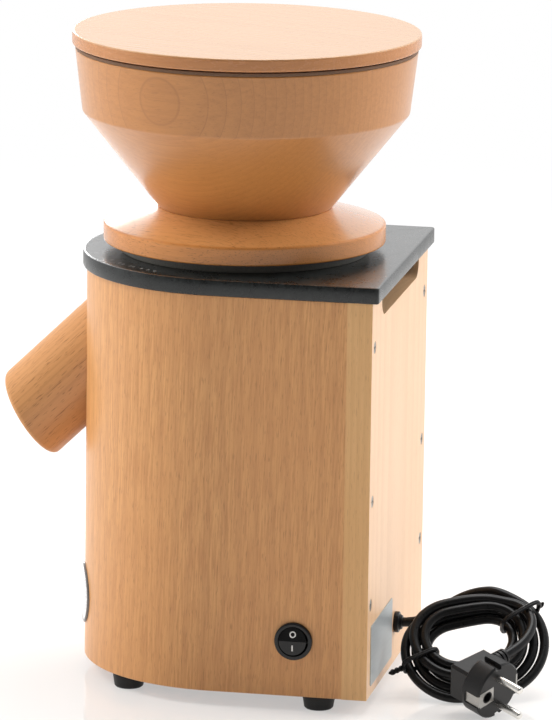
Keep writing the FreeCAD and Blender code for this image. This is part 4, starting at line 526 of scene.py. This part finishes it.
# wire ties: turns round the bundle on a squared-off loop, then both ends twisted together
# loop: (cos t, sin t) squared off, times the bundle's half sizes plus a share of the wire
ties = {"wire": 0.95, "spread": 2.1, "turns": 2, "squared": 0.5, "standOff": 0.4, "twist": 1.1,
        "left": {"angle": 195, "side": -1, "near": 16.2, "far": 38.9, "low": -3.4, "high": 10.0, "tail": 9.5},
        "right": {"angle": 22, "side": 1, "near": 14.2, "far": 41.4, "low": -3.4, "high": 13.2, "tail": 3.0}}


def squaredOff(wave):
    # |wave|^0.5 with the wave's own sign
    return np.sign(wave) * np.abs(wave) ** ties["squared"]


tieShapes = []
wire, fullWay = ties["wire"], ties["turns"] * 2 * np.pi
for tie in (ties["left"], ties["right"]):
    c, s = cosSin(tie["angle"])
    radial, sideways = coil["along"] * c + coil["rise"] * s, coil["rise"] * c - coil["along"] * s
    centre = (coil["middle"] + coil["along"] * tie["side"] * coil["flat"][tie["side"]]
              + radial * (tie["near"] + tie["far"]) / 2 + coil["out"] * (tie["low"] + tie["high"]) / 2)
    halfReach = (tie["far"] - tie["near"]) / 2 + wire * ties["standOff"]
    halfDeep = (tie["high"] - tie["low"]) / 2 + wire * ties["standOff"]
    t = np.linspace(0, fullWay, 160)[:, None]
    loop = (centre + radial * halfReach * squaredOff(np.cos(t)) + coil["out"] * halfDeep * squaredOff(np.sin(t))
            + sideways * ties["spread"] * (t / fullWay - 0.5))
    tieShapes.append(tubeGrid(loop, wire, sideways))
    w = np.linspace(0, 1, 60)[:, None]
    for half in (0, np.pi):
        twist = w * tie["tail"] * ties["twist"] + half
        tail = (centre + radial * (halfReach + w * tie["tail"])
                + wire * (coil["out"] * np.cos(twist) + sideways * np.sin(twist)))
        tieShapes.append(tubeGrid(tail, wire, coil["out"] * np.sin(twist) - sideways * np.cos(twist)))
tiePiece = addPiece("wireTies", joined(tieShapes), "housing", "tie_black", None, ["cord_ties"])
rowPoints(route[0])
[tiePiece] + [nodes[n] for n in ("plug_body", "plug_pins", "plug_earth_contacts")]
print("cord laid")

funnel = {"name": "funnelTurned", "stands for": "hopper_funnel",
          "profile": [(15, 286.9), (30, 286.9), (30, 294.9), (54, 294.9), (101.2, 354.5), (105.8, 393), (95.8, 393),
                      (91.2, 357), (15, 299.9)],
          "radii": [0.3, 0.3, 0.2, 0.5, 0.8, 1.0, 1.2, 4, 2]}
turnedPiece(funnel, "hopper", funnelWood)
collar = {"name": "collarTurned", "stands for": "hopper_collar",
          "profile": [(15, 281.55), (40.15, 281.55), (40.15, 273.4), (87.5, 273.4), (87.5, 284.6), (54, 294.9),
                      (30.15, 294.9), (30.15, 286.75), (15, 286.75)],
          "radii": [0.2, 0.2, 0.3, 1.0, 1.2, 0.3, 0.2, 0.2, 0.2]}
turnedPiece(collar, "hopper", collarWood)
lid = {"name": "lidTurned", "stands for": "lid", "profile": [(0, 396), (107.7, 396), (107.7, 404), (0, 404)],
       "radii": [0, 1.2, 1.2, 0]}
turnedPiece(lid, "lid")
underlay = {"name": "lidUnderlayTurned", "stands for": "lid_underlay",
            "profile": [(94, 393), (105.8, 393), (105.8, 395.1), (104.2, 395.3), (104.2, 396), (94, 396)],
            "radii": [0.1, 0.4, 0.3, 0.05, 0.1, 0.1]}
turnedPiece(underlay, "lid")
locator = {"name": "lidLocatorTurned", "stands for": "lid_locating_disc",
           "profile": [(0, 384), (91.8, 384), (93.8, 386), (93.8, 396), (0, 396)], "radii": [0, 0.5, 0.5, 0.2, 0]}
turnedPiece(locator, "lid")
fixedRing = {"name": "fixedRingTurned", "stands for": "threaded_ring",
             "profile": [(57.3, 247), (64, 247), (64, 267), (77, 267), (77, 272.95), (57.3, 272.95)], "radii": 0.5}
turnedPiece(fixedRing, "housing")
print("turned pieces made")


def dOutline(half, back, corner, step):
    # half-round front of radius half, straight sides, flat back with small rounded corners; points, outward normals
    front = np.linspace(np.pi, 2 * np.pi, int(np.pi * half / step))
    side = np.linspace(0, back - corner, int((back - corner) / step))[1:]
    quarter = np.linspace(0, np.pi / 2, 6)[1:]
    across = np.linspace(half - corner, corner - half, int(2 * half / step))[1:]
    point = np.concatenate([
        np.stack([half * np.cos(front), half * np.sin(front)], 1), np.stack([half + 0 * side, side], 1),
        np.stack([half - corner + corner * np.cos(quarter), back - corner + corner * np.sin(quarter)], 1),
        np.stack([across, back + 0 * across], 1),
        np.stack([corner - half - corner * np.sin(quarter), back - corner + corner * np.cos(quarter)], 1),
        np.stack([-half + 0 * side, side[::-1]], 1)])
    run = np.roll(point, -1, 0) - np.roll(point, 1, 0)
    normal = np.stack([run[:, 1], -run[:, 0]], 1)
    return point, normal / np.linalg.norm(normal, axis=1, keepdims=True)


def atHeight(points, z):
    # (x, y) points lifted to one height
    return np.column_stack([points, np.full(len(points), z)])


# top plate: edge profile (inset, height) carried round the outline, then in to the round hole and back
plate = {"half": mill["half"] + 2.5, "back": mill["back"] + 4, "hole": 64.15, "corner": 2.0, "step": 2.5,
         "low": 257, "top": 267,
         "edge": [(1.6, 257), (1.0, 257), (0.3, 257.3), (0, 258), (0, 266), (0.3, 266.7), (1.0, 267), (1.6, 267)]}
outline, outward = dOutline(plate["half"], plate["back"], plate["corner"], plate["step"])
holeAt = outline / np.linalg.norm(outline, axis=1, keepdims=True) * plate["hole"]
ringed = [atHeight(outline - outward * inset, z) for inset, z in plate["edge"]]
ringed += [atHeight(holeAt, z) for z in (plate["top"], plate["low"])]
plateShape = np.stack(ringed, 1).reshape(-1, 3), gridFaces(len(outline), len(ringed), True, True)
addPiece("topPlateSheet", plateShape, "housing", "slate_plate", None, ["top_plate"])


def cutBy(piece, *cutters):
    # takes each cutter's volume out of the piece and removes the cutter
    for cutter in cutters:
        knife = piece.modifiers.new("cut", "BOOLEAN")
        knife.operation, knife.object, knife.solver = "DIFFERENCE", cutter, "EXACT"
    bpy.context.view_layer.update()
    done = bpy.data.meshes.new_from_object(piece.evaluated_get(bpy.context.evaluated_depsgraph_get()))
    piece.modifiers.clear()
    piece.data = done
    for cutter in cutters:
        bpy.data.objects.remove(cutter)
    done.set_sharp_from_angle(angle=math.radians(sharpAngle))


def rodCutter(name, start, axis, length, radius):
    # closed round bar from start along axis
    rod = turnedGrid([(0, 0), (radius, 0), (radius, length), (0, length)], start, axis, 96)
    made = bpy.data.objects.new(name, closedMesh(name, rod))
    scene.collection.objects.link(made)
    return made


# side shell: open D outline from one back edge to the other, as a wall of given thickness
shell = {"wall": 18, "edge": 0.5, "heights": (60, 120, 190), "frontPoints": 150, "sidePoints": 12}
front = np.linspace(np.pi, 2 * np.pi, shell["frontPoints"])
side = np.linspace(0, mill["seam"], shell["sidePoints"])[1:]
outerLine = np.concatenate([np.stack([-mill["half"] + 0 * side, side[::-1]], 1),
                            mill["half"] * np.stack([np.cos(front), np.sin(front)], 1),
                            np.stack([mill["half"] + 0 * side, side], 1)])
length = np.concatenate([[0], np.cumsum(np.linalg.norm(np.diff(outerLine, axis=0), axis=1))])
facing = np.where(outerLine[:, 1:] < 0, outerLine / np.linalg.norm(outerLine, axis=1, keepdims=True),
                  np.stack([np.sign(outerLine[:, 0]), 0 * outerLine[:, 1]], 1))
e, wall, low, high = shell["edge"], shell["wall"], mill["low"], mill["high"]
section = [(2 * e, low), (e, low), (0, low + e), (0, low + 2 * e)] + [(0, z) for z in shell["heights"]]
section += [(0, high - 2 * e), (0, high - e), (e, high), (2 * e, high), (wall - e, high), (wall, high - e),
            (wall, low + e), (wall - e, low)]
shellGrid = np.stack([atHeight(outerLine - facing * inset, z) for inset, z in section], 1)
count = len(section)
sheetPlace = np.stack(np.broadcast_arrays(length[:, None], [z for inset, z in section]), -1) / 1000
shellFaces = gridFaces(len(outerLine), count, False, True)
shellFaces += [list(range(count)), [len(outerLine) * count - 1 - k for k in range(count)]]
shellPiece = addPiece("sideShellBent", (shellGrid.reshape(-1, 3), shellFaces), "housing", "beech", None, ["side_shell"],
                      sheetPlace.reshape(-1, 2))

# spout: turned about its slanting axis, its mouth cut at a slant, its inner end following the chamber's round wall
spout = {"end": np.array([0, -135.489, 154.586]), "way": np.array([0, -0.718126, -0.695913]), "outer": 29.3,
         "bore": 21.5, "inner": 20.0, "shoulder": 62, "lip": [(21.5, 1.2), (21.6, 0.6), (22.0, 0.15), (22.5, 0)],
         "rounding": 3.0, "flat": 0.8, "cut": 10.4, "meets": 72.3, "room": 0.1, "roomFrom": 120, "roomLong": 130,
         "around": 160}
switch = {"y": mill["back"] - 45.7, "z": 44.1, "room": 10.35, "roomFrom": 24, "roomLong": 30,
          "profile": [(0, -27), (10.2, -27), (10.2, 0), (11.8, 0), (11.8, 2.2), (9.2, 2.2), (9.2, -9), (0, -9)],
          "radii": [0, 0.4, 0.1, 0.2, 1.1, 0.35, 0.2, 0], "tab": (2.4, 0.4), "tabsAt": (-5.1, 5.1), "tabFrom": 27,
          "tabLong": 8}
switchSeat = (mill["half"], switch["y"], switch["z"])
switchRoom = (mill["half"] - switch["roomFrom"], switch["y"], switch["z"])
spoutRoom = spout["end"] - spout["way"] * spout["roomFrom"]
cutBy(shellPiece,
      rodCutter("spoutRoom", spoutRoom, spout["way"], spout["roomLong"], spout["outer"] + spout["room"]),
      rodCutter("switchRoom", switchRoom, (1, 0, 0), switch["roomLong"], switch["room"]))
# rows of (radius, depth behind the mouth's plane); the last and first rows end at the chamber's wall instead
bend = np.linspace(0, np.pi / 2, 8)
rimIn = spout["outer"] - spout["rounding"]
rim = np.stack([rimIn + spout["rounding"] * np.sin(bend), spout["rounding"] * (1 - np.cos(bend))], 1)
radius, depth = np.concatenate([
    [(spout["inner"], 0), (spout["inner"], spout["shoulder"]), (spout["bore"], spout["shoulder"])], spout["lip"],
    [(rimIn - spout["flat"], 0)], rim, [(spout["outer"], spout["rounding"] + 1), (spout["outer"], 0)]]).T
leaning = np.array([0] * 3 + [1] * (len(radius) - 4) + [0])
a = np.linspace(0, 2 * np.pi, spout["around"], endpoint=False)[:, None]
across = np.array([1.0, 0, 0])
below = np.cross(across, spout["way"])
inX, inBelow = radius * np.cos(a), radius * np.sin(a)
behind = depth - leaning * inBelow * math.tan(math.radians(spout["cut"]))
toChamber = (-np.sqrt(spout["meets"] ** 2 - inX ** 2) - spout["end"][1] - inBelow * below[1]) / -spout["way"][1]
behind[:, [0, -1]] = toChamber[:, [0, -1]]
spoutGrid = spout["end"] - behind[..., None] * spout["way"] + inX[..., None] * across + inBelow[..., None] * below
spoutShape = spoutGrid.reshape(-1, 3), gridFaces(len(a), len(radius), True, True)
addPiece("spoutTurned", spoutShape, "housing", "beech", spoutWood, ["spout"])

# feet, grommet and switch housing: turned about their own axes
foot = {"rear": (86.5, mill["back"] - 31.5), "front": (65.282, -56.749),
        "profile": [(2.15, 9), (10, 9), (10, 7), (9, 1), (8, 0), (4.8, 0), (4.8, 5.6), (2.15, 5.6)],
        "radii": [0.1, 0.4, 0.6, 0.3, 0.3, 0.2, 0.1, 0.1]}
footPlaces = [(sign * x, y, 0) for x, y in (foot["rear"], foot["front"]) for sign in (-1, 1)]
footProfile = rounded(foot["profile"], foot["radii"])
addPiece("feetTurned", joined([turnedGrid(footProfile, place, steps=96) for place in footPlaces]), "housing",
         "rubber_black", None, ["rubber_feet"])
grommet = {"z": 34.3, "inner": mill["seam"] - 4,
           "profile": [(0, 0), (5.2, 0), (5.2, 19.5), (6.6, 19.5), (6.6, 22.5), (5.2, 22.5), (4.2, 24.5), (0, 24.5)],
           "radii": [0, 0.4, 0.1, 0.5, 0.7, 0.2, 0.4, 0]}
grommetProfile = rounded(grommet["profile"], grommet["radii"])
addPiece("grommetTurned", turnedGrid(grommetProfile, (0, grommet["inner"], grommet["z"]), (0, 1, 0), 96),
         "housing", slotOf["cord_grommet"], None, ["cord_grommet"])
housing = [turnedGrid(rounded(switch["profile"], switch["radii"]), switchSeat, (1, 0, 0), 120)]
tabSize = np.array(switch["tab"])
tab = rounded(boxCorners(-tabSize, tabSize), 0.2, 3)
for lift in switch["tabsAt"]:
    housing.append(prism(tab, lambda u, v, w: np.stack([
        0 * u + mill["half"] - switch["tabFrom"] - switch["tabLong"] * w, u + switch["y"], v + switch["z"] + lift], 1)))
addPiece("switchHousingTurned", joined(housing), "housing", "switch_black", None, ["switch_housing"])

# rocker marks: a ring and a bar, a hair proud of the two sloping halves, turned back with the rocker at rest
marks = {"crest": 4.3, "slope": 8.0, "rest": -8.0, "ringAt": 4.3, "ring": (2.0, 1.3), "barAt": -4.1, "bar": (0.42, 1.8),
         "root": 0.3, "proud": 0.12}


def onRocker(u, v, w):
    # (u along the rocker's axle, v up it, w outwards) on the sloping face, then turned about the axle
    face = marks["crest"] - np.abs(v) * math.tan(math.radians(marks["slope"]))
    out = face - marks["root"] + w * (marks["root"] + marks["proud"])
    c, s = cosSin(marks["rest"])
    return np.stack([switchSeat[0] + out * c + v * s, switchSeat[1] + u, switchSeat[2] - out * s + v * c], 1)


a = np.linspace(0, 2 * np.pi, 48, endpoint=False)
ringOut, ringIn = marks["ring"]
hoop = np.concatenate([onRocker(r * np.cos(a), marks["ringAt"] + r * np.sin(a), w)
                       for r, w in ((ringOut, 0), (ringOut, 1), (ringIn, 1), (ringIn, 0))])
barSize = np.array(marks["bar"])
bar = rounded(boxCorners(-barSize, barSize), 0.15, 3) + (0, marks["barAt"])
signs = [(hoop, gridFaces(4, len(a), True, True)), prism(bar, onRocker)]
addPiece("rockerMarks", joined(signs), "rocker", "badge_white")
print("cabinet made")

# round badge: a shallow plain dome on the curved front with a narrow raised rim; rows of (radius, height)
badge = {"z": 48.0, "angle": 15.4, "rimFrom": 17.4, "pale": colour(0.68, 0.685, 0.69),
         "dark": colour(0.62, 0.625, 0.63), "rimTint": colour(0.2, 0.205, 0.21),
         "rows": [(0, 1.5), (6, 1.46), (12, 1.3), (16, 1.1), (17.2, 1.0), (17.5, 0.75), (17.8, 1.2), (18.1, 1.5),
                  (18.6, 1.5), (18.9, 1.2), (19, 0.6), (19, 0.05), (0, 0.05)]}
r, lift = np.array(badge["rows"]).T
a = np.linspace(0, 2 * np.pi, 120, endpoint=False)[:, None]
flatX, flatZ = r * np.cos(a), badge["z"] + r * np.sin(a)
flatY = -np.sqrt((mill["half"] + lift) ** 2 - flatX ** 2)
c, s = cosSin(badge["angle"])
badgeGrid = np.stack([flatX * c - flatY * s, flatX * s + flatY * c, flatZ], -1)
enamel = newShade("badgeEnamel")
place = enamel.place()
across = place.dot((c, s, 0)) - millY * s
up = place.dot((0, 0, 1)) - badge["z"] / 1000
rimFrom = badge["rimFrom"] / 1000
rim = ((across ** 2 + up ** 2) ** 0.5).ramp(rimFrom - 0.0001, rimFrom)
dust = enamel.noise(*enamel.spots(900), 2)
face = enamel.blend(dust.ramp(0.3, 0.7), badge["dark"], badge["pale"])
enamel.finish(Base_Color=enamel.blend(rim, face, badge["rimTint"]), Roughness=0.22 + dust * 0.1, Coat_Weight=0.3)
addPiece("badgeDome", (badgeGrid.reshape(-1, 3), gridFaces(len(a), len(r), True, True)), "housing", "badge_white",
         enamel.owner, ["front_badge"], sharp=50)

# blank plate on the back panel
blank = {"low": (12, 15), "high": (86, 53), "thick": 0.4, "corner": 2.0, "silver": (0.37, 0.40, 0.41), "rough": 0.42}
blankEdge = rounded(boxCorners(blank["low"], blank["high"]), blank["corner"])
addPiece("blankPlate", prism(blankEdge, lambda u, v, w: np.stack([u, 0 * u + mill["back"] + w * blank["thick"], v], 1)),
         "housing", "badge_white", brushedFinish("plateSilver", blank["silver"], blank["rough"]))

# panel screws: countersunk heads with a cross recess where |x| or |z| is under the blade's half width
screw = {"x": mill["half"] - 10, "heights": (67, 132, 228), "flat": 3.4, "head": 3.8, "deep": 2.6, "length": 37.5,
         "shank": 2.0, "blade": 0.55, "recess": 2.5, "recessDeep": 1.1, "below": 0.1, "rings": 24}
r = np.concatenate([np.linspace(0, screw["flat"], screw["rings"]),
                    [screw["head"] - 0.1, screw["head"], screw["head"], screw["shank"], screw["shank"], 0]])
level = -np.concatenate([np.full(screw["rings"], screw["below"]),
                         [0.16, 0.4, screw["deep"], screw["deep"], screw["length"], screw["length"]]])
a = np.linspace(0, 2 * np.pi, 64, endpoint=False)[:, None]
u, v = r * np.cos(a), r * np.sin(a)
cross = np.clip((screw["blade"] - np.minimum(np.abs(u), np.abs(v))) / 0.15 + 0.5, 0, 1)
cross = cross * np.clip((screw["recess"] - r) / 0.3, 0, 1)
sunk = level - screw["recessDeep"] * cross * (level > -0.2)
headGrid = np.stack([u, sunk, v], -1).reshape(-1, 3)
headFaces = gridFaces(len(a), len(r), True, True)
spots = [(sign * screw["x"], mill["back"], z) for sign in (-1, 1) for z in screw["heights"]]
zinc = plain("zincScrew", (0.36, 0.34, 0.31), 0.36, 1.0, size=0.0006, change=0.15)
addPiece("panelScrewHeads", joined([(headGrid + spot, headFaces) for spot in spots]), "housing", "steel", zinc,
         ["back_panel_screws"])

# dial: short light strokes printed on the plate in front, standing a hair proud of it
dial = {"radius": (89.8, 92.2), "wide": 0.5, "angles": (37.9, 44.3, 46.8, 51.3, 53.3, 57.8, 61.1, 64.5), "root": 0.1,
        "proud": 0.08, "white": (0.46, 0.47, 0.46)}
near, far = dial["radius"]
stroke = rounded(boxCorners((near, -dial["wide"]), (far, dial["wide"])), 0.25, 3)
strokeLow, strokeHigh = plate["top"] - dial["root"], dial["root"] + dial["proud"]
strokes = []
for degrees in dial["angles"]:
    c, s = cosSin(degrees)
    strokes.append(prism(stroke, lambda u, v, w: np.stack([
        u * s + v * c, v * s - u * c, 0 * u + strokeLow + w * strokeHigh], 1)))
addPiece("dialStrokes", joined(strokes), "housing", "badge_white",
         plain("strokeWhite", dial["white"], 0.5, size=0.0005, depth=0.00001, change=0.15))
print("small pieces made")

# stage: white floor that keeps the shadow and a soft reflection, white surroundings
# distances in metres from the middle: where the floor's warm near tint, a painted reflection of the wood, ends and
# where it has become plain white
stage = {"floor": colour(0.92, 0.90, 0.885), "floorNear": colour(0.93, 0.88, 0.835), "floorRough": 0.07,
         "floorHalf": 30, "nearSpan": (0.12, 0.4), "whiteSpan": (0.6, 1.8), "floorGlow": 0.45, "around": 0.54,
         "frontSpan": (-0.3, 0.9), "cameraSide": 0.43, "cameraGloss": 0.12, "aim": (0, 0, 0.2)}
white, half = colour(1, 1, 1), stage["floorHalf"]
floorMesh = bpy.data.meshes.new("floor")
floorMesh.from_pydata([(x, y, 0) for x, y in boxCorners((-half, -half), (half, half))], [], [(0, 1, 2, 3)])
floor = bpy.data.objects.new("floor", floorMesh)
scene.collection.objects.link(floor)
ground = newShade("floorWhite")
spot = ground.place()
away = (spot.dot((1, 0, 0)) ** 2 + spot.dot((0, 1, 0)) ** 2) ** 0.5
# painted reflection: the floor is warmer near the mill, standing in for the wood's warm bounce
tone = ground.blend(away.ramp(*stage["nearSpan"]), stage["floorNear"], stage["floor"])
ground.finish(Base_Color=tone, Roughness=stage["floorRough"])
glow = ground.node("ShaderNodeEmission", {}, {"Color": white, "Strength": 1.0})
seen = ground.node("ShaderNodeLightPath", {}, {}, "Is Camera Ray")
for kind in ("Is Glossy Ray", "Is Transmission Ray"):
    seen = seen.calc("MAXIMUM", seen, ground.node("ShaderNodeLightPath", {}, {}, kind))
share = stage["floorGlow"] + away.ramp(*stage["whiteSpan"]) * (1 - stage["floorGlow"])
mixed = ground.node("ShaderNodeMixShader", {}, {0: seen * share, 1: Field(ground, ground.surface.outputs[0]), 2: glow})
ground.tree.links.new(mixed.socket, ground.tree.nodes["Material Output"].inputs["Surface"])
floorMesh.materials.append(ground.owner)

# surroundings: white to the camera, glass and gloss; as light on the object less, and least from the camera's side
scene.world = bpy.data.worlds.new("studio")
studio = Shade(scene.world, "Background")
rays = studio.node("ShaderNodeLightPath", {}, {}, "Is Camera Ray")
sources = rays.socket.node.outputs
shown = rays.calc("MAXIMUM", rays, Field(studio, sources["Is Transmission Ray"]))
towards = studio.node("ShaderNodeTexCoord", {}, {}, "Generated").dot([-a for a in camera["ahead"]])
front = towards.ramp(*stage["frontSpan"])
gloss = Field(studio, sources["Is Glossy Ray"])
light = stage["around"] * (1 - front * (1 - stage["cameraSide"]))
mirrored = 1 - front * (1 - stage["cameraGloss"])
level = shown + (1 - shown) * (light + gloss * (mirrored - light))
studio.finish(Color=white, Strength=level)

# place, size, power and whether gloss shows the lamp: the side lamps light only, so that tops don't glare
lamps = {"back": ((-1.3, 2.3, 1.5), 1.6, 72, False), "left": ((0.25, -2.6, 0.5), 1.5, 41, False),
         "highLeft": ((0, -1.9, 2.1), 1.0, 37, False), "above": ((-0.6, 0.2, 2.4), 1.6, 40, True),
         "lowBack": ((-2.75, -1.15, 0.82), 0.6, 9, True)}
for name, (place, size, power, inGloss) in lamps.items():
    lampData = bpy.data.lights.new(name, "AREA")
    lampData.energy, lampData.size = power, size
    lamp = bpy.data.objects.new(name, lampData)
    scene.collection.objects.link(lamp)
    lamp.location = place
    lamp.visible_glossy = inGloss
    lamp.visible_camera = False
    lamp.rotation_euler = (Vector(stage["aim"]) - Vector(place)).to_track_quat("-Z", "Y").to_euler()
scene.view_settings.view_transform = "Standard"
print("stage lit")
